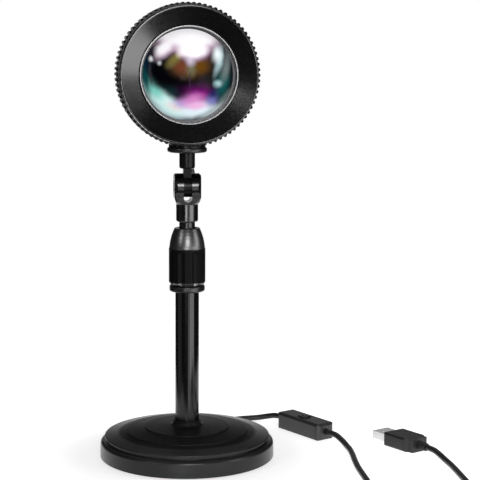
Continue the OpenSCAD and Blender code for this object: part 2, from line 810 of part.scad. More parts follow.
module rear_cover() {
    color("#141416") difference() {
        union() {
            turned_head(rear_line);
            head_ring(rear_screw_r, rear_screw_angles) disc_y(2.9, post_y + 0.05, cover_y + 1);
        }
        head_ring(rear_screw_r, rear_screw_angles) {
            disc_y(1.6, post_y - cut, cover_y + 4);
            disc_y(2.9, cover_y + 1.3, cover_y + 4);
        }
        along_y(cover_y - cut, cover_y + 4) for (a = vent_angles) rotate([0, 0, a])
            translate([16, -0.8]) square([11, 1.6]);
        translate([0, 0, gland_z - head_z]) disc_y(3.3, cover_y - cut, cover_y + 4);
    }
}

module rear_screws() {
    color("silver") head_ring(rear_screw_r, rear_screw_angles)
        translate([0, cover_y + 2.6, head_z]) rotate([90, 0, 0]) screw(2.7, 1.3, 1.2, 6.6);
}

// Strain relief: snap collar, flange and a ribbed taper round the lead
gland_rib_count = 4;
gland_rib_step = 2;
gland_ribs_y = gland_tip_y - 1.2 - gland_rib_count * gland_rib_step;
gland_line = concat(
    [[0, cover_y - 1.4], [4.4, cover_y - 1.4], [4.4, cover_wall_y - 0.1]],
    [[3.2, cover_wall_y - 0.1], [3.2, cover_y + 3.15], [4.8, cover_y + 3.15]],
    [[4.8, gland_ribs_y]],
    [for (i = [0:gland_rib_count - 1]) let (
            y = gland_ribs_y + i * gland_rib_step, r = 3.7 - 0.3 * i)
        each [[r, y], [r, y + 1.2], [r - 0.5, y + 1.2], [r - 0.5, y + gland_rib_step]]],
    [[2.3, gland_tip_y], [0, gland_tip_y]]
);

module cable_gland() {
    color("#202023") translate([0, 0, gland_z]) rotate([-90, 0, 0])
        rotate_extrude() polygon(gland_line);
}

// -------------------------------------------------------------------- lead

lead_sides = 8;

module lead_upper() {
    color("#0c0c0d") swept_tube(upper_route, lead_r, lead_sides, [1, 0, 0]);
}

module lead_lower() {
    color("#0c0c0d") swept_tube(lower_route, lead_r, lead_sides, [1, 0, 0]);
}

module lead_to_switch() {
    color("#0c0c0d") swept_tube(switch_route, lead_r, lead_sides, [0, 1, 0]);
}

module lead_to_coil() {
    color("#0c0c0d") swept_tube(coil_route, lead_r, lead_sides, [0, 0, 1]);
}

module lead_to_plug() {
    color("#0c0c0d") swept_tube(plug_route, lead_r, lead_sides, [0, 0, 1]);
}

// Height along the coil: the lower layer, a climb of half a turn, the upper layer
function coil_z(turn) = let (climb = (turn - coil_in_turns + 0.25) / 0.5)
    coil_low_z + coil_pitch * max(0, min(1, climb));

// Point of the coil after so many turns, starting at its left side
function coil_point(turn) = let (
        r = coil_in_r + coil_pitch * abs(turn - coil_in_turns),
        a = 180 + 360 * turn)
    [coil_centre[0] + r * cos(a), coil_centre[1] + r * sin(a), coil_z(turn)];

coil_last = coil_turns * coil_rings;
coil_path = concat(
    [coil_point(0) + [0, lead_d, 0]],
    [for (i = [0:coil_last]) coil_point(i / coil_rings)],
    [coil_point(coil_turns) + [0, lead_d, 0]]
);

// Least gap between turns, measured on the tube's centre points
coil_gap = min([for (i = [0:len(coil_path) - 1], j = [0:len(coil_path) - 1])
    if (j - i > coil_rings / 2) norm(coil_path[j] - coil_path[i])]) - lead_d;
echo(coil_gap = coil_gap);

// Length of a route, or of the coil
function route_length(path) = norm(path[1] - path[0]) +
    (len(path) > 2 ? route_length([for (i = [1:len(path) - 1]) path[i]]) : 0);
echo(coil_length = route_length(coil_path));
echo(run_lengths = [for (run = [upper_route, lower_route, switch_route, coil_route, plug_route])
    route_length(run)]);
echo(coil_start = coil_path[0], coil_end = coil_path[len(coil_path) - 1]);

module lead_coil() {
    color("#0c0c0d") swept_tube(coil_path, lead_r, coil_sides, [0, 0, 1]);
}

// Soft band that holds the turns together, square across the bundle
module coil_tie() {
    turns_across = coil_in_turns - 1.25;
    inner_w = turns_across * coil_pitch + lead_d + 1.2;
    inner_h = lead_d + coil_pitch + 0.3;
    middle_r = coil_in_r + coil_pitch / 2 + turns_across * coil_pitch / 2;
    color("#26262a") translate([coil_centre[0], coil_centre[1] + middle_r, 0])
        rotate([90, 0, 90]) translate([0, inner_h / 2 + 0.55, -tie_l / 2])
            linear_extrude(tie_l) difference() {
                round_rect(inner_w + 1, inner_h + 1, 1.5);
                round_rect(inner_w, inner_h, 1);
            }
}

// ------------------------------------------------------------------ switch

// Body of the switch with its edges eased, drawn along X
module switch_block() {
    ease = 1.4;
    intersection() {
        linear_extrude(switch_h) round_rect(switch_l, switch_w, 3.2);
        translate([0, switch_w / 2, 0]) rotate([90, 0, 0]) linear_extrude(switch_w) polygon([
            [0.6 - switch_l / 2, 0], [switch_l / 2 - 0.6, 0], [switch_l / 2, 0.6],
            [switch_l / 2, switch_h - ease], [switch_l / 2 - ease, switch_h],
            [ease - switch_l / 2, switch_h], [-switch_l / 2, switch_h - ease],
            [-switch_l / 2, 0.6]
        ]);
        translate([-switch_l / 2, 0, 0]) rotate([90, 0, 90]) linear_extrude(switch_l) polygon([
            [0.6 - switch_w / 2, 0], [switch_w / 2 - 0.6, 0], [switch_w / 2, 0.6],
            [switch_w / 2, switch_h - ease], [switch_w / 2 - ease, switch_h],
            [ease - switch_w / 2, switch_h], [-switch_w / 2, switch_h - ease],
            [-switch_w / 2, 0.6]
        ]);
    }
}

module switch_hollow() {
    translate([0, 0, switch_wall]) linear_extrude(switch_h - 2 * switch_wall)
        round_rect(switch_l - 2 * switch_wall, switch_w - 2 * switch_wall, 1.6);
    translate([-switch_l, 0, split_z]) rotate([0, 90, 0]) cylinder(r = 2.2, h = 2 * switch_l);
}

module switch_bottom() {
    color("#141416") at_switch() difference() {
        switch_block();
        switch_hollow();
        translate([-50, -50, split_z]) cube([100, 100, 20]);
    }
}

module switch_top() {
    color("#17171a") at_switch() difference() {
        switch_block();
        switch_hollow();
        translate([-50, -50, split_z - 20]) cube([100, 100, 20]);
        translate([button_at, 0, 0]) {
            cylinder(r = button_r + 0.35, h = 20);
            translate([0, 0, switch_h - 0.7]) rotate_extrude() polygon([
                [button_r, 0], [button_well_r - 0.6, 0], [button_well_r, 0.9], [button_r, 0.9]
            ]);
        }
    }
}

module switch_button() {
    color("#1d1d20") at_switch() translate([button_at, 0, 0]) rotate_extrude() polygon([
        [0, 7], [button_r + 0.9, 7], [button_r + 0.9, switch_h - switch_wall - 0.1],
        [button_r, switch_h - switch_wall - 0.1], [button_r, switch_h + 0.1],
        [button_r - 0.5, switch_h + 0.6], [button_r - 1.1, switch_h + 0.6],
        [1.2, switch_h + 0.25], [0, switch_h + 0.2]
    ]);
}

// Push switch under the button, on its small board
module switch_module() {
    color("ivory") at_switch() {
        translate([-12, -4.5, switch_wall]) cube([24, 9, 1.2]);
        translate([button_at - 3.5, -3.5, switch_wall + 1.1]) cube([7, 7, 2.7]);
        translate([button_at, 0, switch_wall + 3.7]) cylinder(r = 1.8, h = 0.8);
    }
}

module switch_grommets() {
    color("#202023") at_switch() for (side = [-1, 1])
        translate([side * (switch_l / 2 - 1), 0, split_z]) rotate([0, side * 90, 0]) {
            cylinder(r = 2.15, h = 1);
            translate([0, 0, -1.6]) cylinder(r = 3, h = 1.15);
            translate([0, 0, -0.5]) cylinder(r = 2.15, h = 0.6);
        }
}

// -------------------------------------------------------------------- plug

grip_x = boot_l + taper_l;
shell_x = grip_x + grip_l;

// Moulded grip with its shoulders drawn in towards the lead
module plug_grip() {
    side = 0.9;
    half_w = plug_w / 2;
    shoulder = [
        [boot_l, 5.6], [boot_l + 0.3, 5.9], [boot_l + 2.3, 5.9], [boot_l + 3.3, half_w - 1.8],
        [boot_l + 4.4, half_w - 0.9], [boot_l + 5.5, half_w - 0.2], [grip_x, half_w],
        [shell_x - 0.6, half_w], [shell_x, half_w - 0.6]
    ];
    color("#121214") at_plug() difference() {
        intersection() {
            linear_extrude(plug_h) polygon(concat(shoulder,
                [for (i = [len(shoulder) - 1:-1:0]) [shoulder[i][0], -shoulder[i][1]]]));
            rotate([90, 0, 90]) linear_extrude(shell_x) polygon([
                [side - plug_w / 2, 0], [plug_w / 2 - side, 0], [plug_w / 2, side],
                [plug_w / 2, plug_h - side], [plug_w / 2 - side, plug_h],
                [side - plug_w / 2, plug_h], [-plug_w / 2, plug_h - side], [-plug_w / 2, side]
            ]);
        }
        translate([shell_x - 6, -shell_w / 2, (plug_h - shell_h) / 2])
            cube([6 + cut, shell_w, shell_h]);
        translate([boot_l - cut, 0, plug_h / 2]) rotate([0, 90, 0]) cylinder(r = 2.05, h = 3 + cut);
    }
}

// Folded steel shell of the plug with its two latch windows on each face
module plug_shell() {
    inner_w = shell_w - 2 * shell_wall;
    inner_h = shell_h - 2 * shell_wall;
    color("gainsboro") at_plug() translate([shell_x - 6, 0, plug_h / 2]) difference() {
        translate([0, -shell_w / 2, -shell_h / 2]) cube([shell_l + 6, shell_w, shell_h]);
        translate([1, -inner_w / 2, -inner_h / 2]) cube([shell_l + 6, inner_w, inner_h]);
        for (side = [-1, 1]) translate([10.6, side * 3 - 1.3, -5]) cube([2.1, 2.6, 10]);
    }
}

module plug_tongue() {
    color("white") at_plug() translate([shell_x - 4.9, 0, plug_h / 2])
        translate([0, -5.55, -1.85]) cube([shell_l + 4.4, 11.1, 1.85]);
}

module plug_contacts() {
    color("gold") at_plug() for (y = [-3.5, -1, 1, 3.5])
        translate([shell_x + 3, y - 0.5, plug_h / 2 + 0.02]) cube([shell_l - 4.6, 1, 0.25]);
}

module plug_boot() {
    color("#202023") at_plug() translate([0, 0, plug_h / 2]) rotate([0, 90, 0]) {
        cylinder(r1 = 2.4, r2 = 2.6, h = boot_l);
        cylinder(r = 2, h = boot_l + 1.9);
    }
}

// ------------------------------------------------------------------- parts

foot_pad();
base_plate();
base_screws();
base_weight();
base_cover();
pole_screw();
pole_washer();
tube_insert();
outer_tube();
clamp_collar();
collet();
clamp_nut();
mast_rod();
rod_bush();
rod_cap();
swivel_pin();
swivel_washer();
yoke();
yoke_grub_screw();
pivot_screw();
pivot_nut();
neck();
neck_stud();
stud_nut();
flange_disc();
head_boss();
head_housing();
front_bezel();
lens_retainer();
lens_glass();
lens_gasket();
colour_filter();
reflector();
led_chip();
ir_receiver();
led_board();
led_screws();
thermal_pad();
driver_board();
head_wires();
rear_cover();
rear_screws();
cable_gland();
lead_upper();
lead_lower();
lead_to_switch();
lead_to_coil();
lead_coil();
lead_to_plug();
coil_tie();
switch_bottom();
switch_top();
switch_button();
switch_module();
switch_grommets();
plug_grip();
plug_shell();
plug_tongue();
plug_contacts();
plug_boot();
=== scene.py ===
import bmesh
import bpy
import math
from mathutils import Matrix, Vector


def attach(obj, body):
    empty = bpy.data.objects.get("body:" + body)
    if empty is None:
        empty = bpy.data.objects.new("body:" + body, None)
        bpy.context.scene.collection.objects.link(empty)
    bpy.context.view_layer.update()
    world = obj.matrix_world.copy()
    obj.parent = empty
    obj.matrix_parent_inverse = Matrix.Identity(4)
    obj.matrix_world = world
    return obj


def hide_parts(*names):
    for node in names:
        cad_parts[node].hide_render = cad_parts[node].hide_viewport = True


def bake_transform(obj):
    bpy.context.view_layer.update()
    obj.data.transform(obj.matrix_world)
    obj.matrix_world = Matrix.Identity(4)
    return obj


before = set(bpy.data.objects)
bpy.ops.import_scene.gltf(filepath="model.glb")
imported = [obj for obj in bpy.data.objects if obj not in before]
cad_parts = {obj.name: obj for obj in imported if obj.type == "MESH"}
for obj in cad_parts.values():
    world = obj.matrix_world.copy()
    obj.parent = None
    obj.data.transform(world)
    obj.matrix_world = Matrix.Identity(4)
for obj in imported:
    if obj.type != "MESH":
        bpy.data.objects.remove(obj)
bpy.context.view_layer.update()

# ------------------------------------------------------------ foot pad
# A flat ring of closed-cell foam rubber glued under the base. Its skin is
# matte and slightly pitted, and it keeps the lamp from sliding.

NUMBER, VECTOR, COLOUR = "NodeSocketFloat", "NodeSocketVector", "NodeSocketColor"


def effect(name, takes, gives):
    """New shader node group with its sockets, and its nodes for what goes in and out."""
    group = bpy.data.node_groups.new(name, "ShaderNodeTree")
    for way, sockets in (("INPUT", takes), ("OUTPUT", gives)):
        for label, kind in sockets.items():
            group.interface.new_socket(label, in_out=way, socket_type=kind)
    return group, group.nodes.new("NodeGroupInput"), group.nodes.new("NodeGroupOutput")


# Mottled tone, roughness that wanders and a fine relief
MOTTLE_DETAIL, RELIEF_DETAIL, RELIEF_STRENGTH = 4.0, 3.0, 0.6
MOTTLE_LOW, MOTTLE_HIGH = 0.3, 0.7
grain_group, given, made = effect(
    "fine_grain",
    {"Dark": COLOUR, "Light": COLOUR, "Smoothest": NUMBER, "Roughest": NUMBER,
     "Mottle Scale": NUMBER, "Relief Scale": NUMBER, "Relief Depth": NUMBER},
    {"Colour": COLOUR, "Roughness": NUMBER, "Normal": VECTOR})
nodes, links = grain_group.nodes, grain_group.links
place = nodes.new("ShaderNodeTexCoord")
mottle = nodes.new("ShaderNodeTexNoise")
mottle.inputs["Detail"].default_value = MOTTLE_DETAIL
links.new(place.outputs["Object"], mottle.inputs["Vector"])
links.new(given.outputs["Mottle Scale"], mottle.inputs["Scale"])
tone = nodes.new("ShaderNodeMix")
tone.data_type = "RGBA"
links.new(mottle.outputs["Fac"], tone.inputs["Factor"])
links.new(given.outputs["Dark"], tone.inputs["A"])
links.new(given.outputs["Light"], tone.inputs["B"])
links.new(tone.outputs["Result"], made.inputs["Colour"])
gloss = nodes.new("ShaderNodeMapRange")
gloss.inputs["From Min"].default_value = MOTTLE_LOW
gloss.inputs["From Max"].default_value = MOTTLE_HIGH
links.new(mottle.outputs["Fac"], gloss.inputs["Value"])
links.new(given.outputs["Smoothest"], gloss.inputs["To Min"])
links.new(given.outputs["Roughest"], gloss.inputs["To Max"])
links.new(gloss.outputs["Result"], made.inputs["Roughness"])
pits = nodes.new("ShaderNodeTexNoise")
pits.inputs["Detail"].default_value = RELIEF_DETAIL
links.new(place.outputs["Object"], pits.inputs["Vector"])
links.new(given.outputs["Relief Scale"], pits.inputs["Scale"])
bump = nodes.new("ShaderNodeBump")
bump.inputs["Strength"].default_value = RELIEF_STRENGTH
links.new(given.outputs["Relief Depth"], bump.inputs["Distance"])
links.new(pits.outputs["Fac"], bump.inputs["Height"])
links.new(bump.outputs["Normal"], made.inputs["Normal"])


def finish(name, colour, rough, metallic=0.0, specular=0.5, tint=0.12, grain=420.0,
           relief=0.00002, relief_scale=1500.0):
    """Material with the fine grain; rough is its smoothest and its roughest."""
    material = bpy.data.materials.new(name)
    material.use_nodes = True
    nodes, links = material.node_tree.nodes, material.node_tree.links
    surface = nodes["Principled BSDF"]
    surface.inputs["Metallic"].default_value = metallic
    surface.inputs["Specular IOR Level"].default_value = specular
    skin = nodes.new("ShaderNodeGroup")
    skin.name = "skin"
    skin.node_tree = grain_group
    skin.inputs["Dark"].default_value = (*[c * (1 - tint) for c in colour], 1)
    skin.inputs["Light"].default_value = (*[min(1, c * (1 + tint)) for c in colour], 1)
    skin.inputs["Smoothest"].default_value, skin.inputs["Roughest"].default_value = rough
    skin.inputs["Mottle Scale"].default_value = grain
    skin.inputs["Relief Scale"].default_value = relief_scale
    skin.inputs["Relief Depth"].default_value = relief
    links.new(skin.outputs["Colour"], surface.inputs["Base Color"])
    links.new(skin.outputs["Roughness"], surface.inputs["Roughness"])
    links.new(skin.outputs["Normal"], surface.inputs["Normal"])
    return material


def dress(material, *names):
    """Gives CAD pieces their finish."""
    for name in names:
        for coat in bpy.data.objects[name].material_slots:
            coat.material = material


dress(finish("foam_rubber", (0.03, 0.03, 0.03), (0.85, 0.98), relief=0.0001), "foot_pad")

# ------------------------------------- bottom plate, its screws and the weight
# A stamped steel disc closes the base, held by three pan-head screws that run
# up into posts of the cover. A cast iron ring under the dome keeps it standing.

zinc = finish("zinc_plate", (0.56, 0.56, 0.58), (0.28, 0.42), metallic=1.0, tint=0.06)
dress(zinc, "base_plate", "base_screws")
dress(finish("cast_iron", (0.09, 0.09, 0.09), (0.6, 0.8), metallic=0.6, relief=0.0002),
      "base_weight")

# ------------------------------------------------------------- base cover
# A spun steel cover with a flat side band, a groove above it and a shallow dome
# with two stepped rings. It is powder coated black, and the band is rubbed shinier.

SIDE_BAND_TOP, ABOVE_THE_LAMP = 0.0142, 1.0
# Half the height that the shine takes to fade, with a minus where it begins upwards
SHINE_ENDS, SHINE_STARTS = 0.0002, -0.0003

# Mask of the parts of a turned piece that are shinier: below one height, above another
shine_group, given, made = effect("shiny_heights", {"Below": NUMBER, "Above": NUMBER},
                                  {"Shine": NUMBER})
nodes, links = shine_group.nodes, shine_group.links
place = nodes.new("ShaderNodeTexCoord")
split = nodes.new("ShaderNodeSeparateXYZ")
links.new(place.outputs["Object"], split.inputs["Vector"])
either = nodes.new("ShaderNodeMath")
either.operation = "MAXIMUM"
links.new(either.outputs["Value"], made.inputs["Shine"])
for k, (label, half) in enumerate((("Below", SHINE_ENDS), ("Above", SHINE_STARTS))):
    edge = nodes.new("ShaderNodeMapRange")
    for way, socket in ((half, "From Min"), (-half, "From Max")):
        limit = nodes.new("ShaderNodeMath")
        limit.inputs[1].default_value = way
        links.new(given.outputs[label], limit.inputs[0])
        links.new(limit.outputs["Value"], edge.inputs[socket])
    links.new(split.outputs["Z"], edge.inputs["Value"])
    links.new(edge.outputs["Result"], either.inputs[k])


def add_shine(material, below, above, coat_ior, coat_rough):
    """Clear shiny skin on a material, below one height and above another."""
    nodes, links = material.node_tree.nodes, material.node_tree.links
    surface = nodes["Principled BSDF"]
    surface.inputs["Coat IOR"].default_value = coat_ior
    surface.inputs["Coat Roughness"].default_value = coat_rough
    shine = nodes.new("ShaderNodeGroup")
    shine.node_tree = shine_group
    shine.inputs["Below"].default_value = below
    shine.inputs["Above"].default_value = above
    links.new(shine.outputs["Shine"], surface.inputs["Coat Weight"])
    return material


base_enamel = finish("base_enamel", (0.007, 0.007, 0.0075), (0.36, 0.42), specular=0.06,
                     relief=0.000008, relief_scale=2200.0)
dress(add_shine(base_enamel, below=SIDE_BAND_TOP, above=ABOVE_THE_LAMP, coat_ior=1.34,
                coat_rough=0.34), "base_cover")

# ------------------------------------------------------------------- pole
# A drawn steel tube in gloss black enamel, pushed into the hub of the base and
# pulled down from below by one screw, with a washer, in the insert at its foot.

dress(finish("pole_enamel", (0.002, 0.002, 0.0022), (0.12, 0.15), specular=0.35, grain=160.0,
             relief=0.000001), "outer_tube")
dress(zinc, "pole_screw", "pole_washer", "tube_insert")

# ------------------------------------------- collar, collet and clamp nut
# The collar is a moulded sleeve with a flange and a coarse thread, pressed on
# the pole. The nut screws down over it and squeezes a split nylon collet.

GRIP_FOOT, GRIP_TOP = 0.1018, 0.121
clamp_plastic = finish("clamp_plastic", (0.003, 0.003, 0.0034), (0.3, 0.36), specular=0.5,
                       grain=260.0, relief=0.000004)
dress(clamp_plastic, "clamp_collar")
nut_black = finish("clamp_nut_black", (0.003, 0.003, 0.0034), (0.42, 0.48), specular=0.06,
                   grain=260.0, relief=0.0000005)
dress(add_shine(nut_black, below=GRIP_FOOT, above=GRIP_TOP, coat_ior=1.97, coat_rough=0.32),
      "clamp_nut")
nylon = finish("natural_nylon", (0.78, 0.76, 0.7), (0.45, 0.6), tint=0.04)
dress(nylon, "collet")

# ------------------------------------------------------------- sliding rod
# A thinner steel tube that slides in the pole on a nylon bush, capped at its foot.
# A turned pin in its upper end carries the yoke on a washer, and a grub screw in a
# groove of the pin keeps it from lifting off.

dress(finish("rod_plating", (0.003, 0.003, 0.0034), (0.2, 0.26), specular=0.4, grain=300.0,
             relief=0.000002), "mast_rod")
dress(nylon, "rod_bush", "rod_cap")
dress(zinc, "swivel_pin", "yoke_grub_screw")
dress(clamp_plastic, "swivel_washer")

# ------------------------------------------------------------ yoke and pivot
# A die casting with a round stem and two ears, drilled through for the tilt
# screw. It is black and smooth, with a soft shine on its rounded edges.

dress(finish("yoke_lacquer", (0.06, 0.06, 0.061), (0.2, 0.24), metallic=1.0, grain=350.0,
             relief=0.000003), "yoke")
black_oxide = finish("black_oxide", (0.02, 0.02, 0.022), (0.3, 0.4), metallic=0.7)
dress(black_oxide, "pivot_screw", "pivot_nut")

# ------------------------------------------------------ neck, disc and boss
# The neck is turned with a flat tongue that tilts between the ears. A thin disc
# and a round boss stand between it and the head, and a stud runs up through both
# to a nut inside the head.

dress(finish("cast_black", (0.004, 0.004, 0.0045), (0.26, 0.32), specular=0.14, grain=350.0,
             relief=0.000006), "neck", "head_boss")
dress(finish("disc_black", (0.006, 0.006, 0.0065), (0.3, 0.36), specular=0.4, grain=350.0,
             relief=0.000006), "flange_disc")
dress(zinc, "neck_stud", "stud_nut")

# ---------------------------------------------------------------- head body
# A short aluminium drum with eighty cooling ribs cut along its outside. A
# web across its middle carries the light source and leads its heat outwards.

dress(finish("ribbed_black", (0.004, 0.004, 0.0045), (0.34, 0.44), specular=0.25,
             relief=0.000006), "head_housing")

# ------------------------------------------- front ring, retainer and gasket
# The dished ring is turned from aluminium, anodised black, with a bright edge
# where the rim was cut last. A thin ring inside it holds the lens on its gasket.

HEAD_Z = 0.2189
BEZEL_EDGE_Y, RETAINER_EDGE_Y, EDGE_FADE = -0.0184, -0.0143, 0.0002
TOOL_MARK_SCALE, TOOL_MARK_WANDER, TOOL_MARK_STRENGTH = 900.0, 0.6, 0.25
TOOL_MARK_TO_GRAIN = 5

# Place on the front of the head from the optical axis, and how far back it is
face_group, given, made = effect("face_place", {}, {"Place": VECTOR, "Back": NUMBER})
nodes, links = face_group.nodes, face_group.links
place = nodes.new("ShaderNodeTexCoord")
split = nodes.new("ShaderNodeSeparateXYZ")
links.new(place.outputs["Object"], split.inputs["Vector"])
height = nodes.new("ShaderNodeMath")
height.operation = "SUBTRACT"
height.inputs[1].default_value = HEAD_Z
links.new(split.outputs["Z"], height.inputs[0])
flat = nodes.new("ShaderNodeCombineXYZ")
links.new(split.outputs["X"], flat.inputs["X"])
links.new(height.outputs["Value"], flat.inputs["Y"])
links.new(flat.outputs["Vector"], made.inputs["Place"])
links.new(split.outputs["Y"], made.inputs["Back"])

# Tool marks round the optical axis, and a mask of the edge that was cut last
turning_group, given, made = effect(
    "turning_marks",
    {"Place": VECTOR, "Back": NUMBER, "Edge Back": NUMBER, "Depth": NUMBER, "Normal": VECTOR},
    {"Cut": NUMBER, "Normal": VECTOR})
nodes, links = turning_group.nodes, turning_group.links
marks = nodes.new("ShaderNodeTexWave")
marks.wave_type = "RINGS"
marks.rings_direction = "Z"
marks.inputs["Scale"].default_value = TOOL_MARK_SCALE
marks.inputs["Distortion"].default_value = TOOL_MARK_WANDER
links.new(given.outputs["Place"], marks.inputs["Vector"])
tool = nodes.new("ShaderNodeBump")
tool.inputs["Strength"].default_value = TOOL_MARK_STRENGTH
links.new(given.outputs["Depth"], tool.inputs["Distance"])
links.new(marks.outputs["Fac"], tool.inputs["Height"])
links.new(given.outputs["Normal"], tool.inputs["Normal"])
links.new(tool.outputs["Normal"], made.inputs["Normal"])
edge_end = nodes.new("ShaderNodeMath")
edge_end.operation = "SUBTRACT"
edge_end.inputs[1].default_value = EDGE_FADE
links.new(given.outputs["Edge Back"], edge_end.inputs[0])
edge = nodes.new("ShaderNodeMapRange")
links.new(given.outputs["Back"], edge.inputs["Value"])
links.new(given.outputs["Edge Back"], edge.inputs["From Min"])
links.new(edge_end.outputs["Value"], edge.inputs["From Max"])
links.new(edge.outputs["Result"], made.inputs["Cut"])


def turned_finish(name, colour, rough, bright, edge_y, depth=0.00001):
    """Turned and anodised metal, with a brighter cut from edge_y forwards."""
    material = finish(name, colour, rough, metallic=1.0, grain=700.0,
                      relief=depth / TOOL_MARK_TO_GRAIN)
    nodes, links = material.node_tree.nodes, material.node_tree.links
    surface, skin = nodes["Principled BSDF"], nodes["skin"]
    face = nodes.new("ShaderNodeGroup")
    face.node_tree = face_group
    turning = nodes.new("ShaderNodeGroup")
    turning.node_tree = turning_group
    turning.inputs["Edge Back"].default_value = edge_y
    turning.inputs["Depth"].default_value = depth
    for label in ("Place", "Back"):
        links.new(face.outputs[label], turning.inputs[label])
    links.new(skin.outputs["Normal"], turning.inputs["Normal"])
    links.new(turning.outputs["Normal"], surface.inputs["Normal"])
    cut = nodes.new("ShaderNodeMix")
    cut.data_type = "RGBA"
    cut.inputs["B"].default_value = (bright, bright, bright, 1)
    links.new(turning.outputs["Cut"], cut.inputs["Factor"])
    links.new(skin.outputs["Colour"], cut.inputs["A"])
    links.new(cut.outputs["Result"], surface.inputs["Base Color"])
    return material


dress(turned_finish("bezel_anodised", (0.062, 0.062, 0.063), (0.2, 0.25), bright=0.09,
                    edge_y=BEZEL_EDGE_Y), "front_bezel")
dress(turned_finish("retainer_anodised", (0.08, 0.08, 0.083), (0.3, 0.36), bright=0.25,
                    edge_y=RETAINER_EDGE_Y, depth=0.000001), "lens_retainer")
dress(finish("gasket_rubber", (0.02, 0.02, 0.02), (0.8, 0.9)), "lens_gasket")

# ------------------------------------------------------------------- lens
# A thick domed lens over a coated colour glass, drawn opaque. Bands of the coating,
# the black bore and the pale studio are painted on it as soft patches with a slight
# ripple: the bore as painted shade, the studio as painted reflections and highlights,
# and the dome glows with a painted glow in the same colours.

DOME_BALL, DOME_MIDDLE_Y, DOME_R = 0.0255, 0.0016, 0.025
DOME_STEPS, DOME_SIDES = 40, 160
RIM_R, RIM_FRONT_Y, RIM_BACK_Y = 0.0259, -0.0032, -0.0017
RIM_LEDGE, RIM_BEVEL, RIM_BACK_BEVEL = 0.0001, 0.0002, 0.0003
RIPPLE_SCALE, RIPPLE_REACH = 110.0, 0.0028
# Share of the patch colours that lamps light, and the strength of their painted glow
LENS_SHADE, LENS_PAINTED_GLOW = 0.4, 0.72
LENS_COAT, LENS_COAT_ROUGH = 0.04, 0.15
# Shares of its size over which a patch of softness 1 fades, in and out of its outline
FADE_INSIDE, FADE_OUTSIDE = 1.1, 0.9


def turned(name, profile, steps):
    """Closed solid turned about the optical axis from [radius, y] points, in metres."""
    mesh = bpy.data.meshes.new(name)
    shape = bmesh.new()
    rings = []
    for radius, y in profile:
        if radius == 0:
            rings.append([shape.verts.new((0, y, HEAD_Z))])
        else:
            rings.append([shape.verts.new((radius * math.cos(math.tau * k / steps), y,
                                           HEAD_Z + radius * math.sin(math.tau * k / steps)))
                          for k in range(steps)])
    for near, far in zip(rings, rings[1:]):
        for k in range(steps):
            j = (k + 1) % steps
            corners = [near[k % len(near)], near[j % len(near)],
                       far[j % len(far)], far[k % len(far)]]
            shape.faces.new(list(dict.fromkeys(corners)))
    bmesh.ops.recalc_face_normals(shape, faces=shape.faces)
    for face in shape.faces:
        face.smooth = True
    shape.to_mesh(mesh)
    shape.free()
    piece = bpy.data.objects.new(name, mesh)
    bpy.context.collection.objects.link(piece)
    return piece
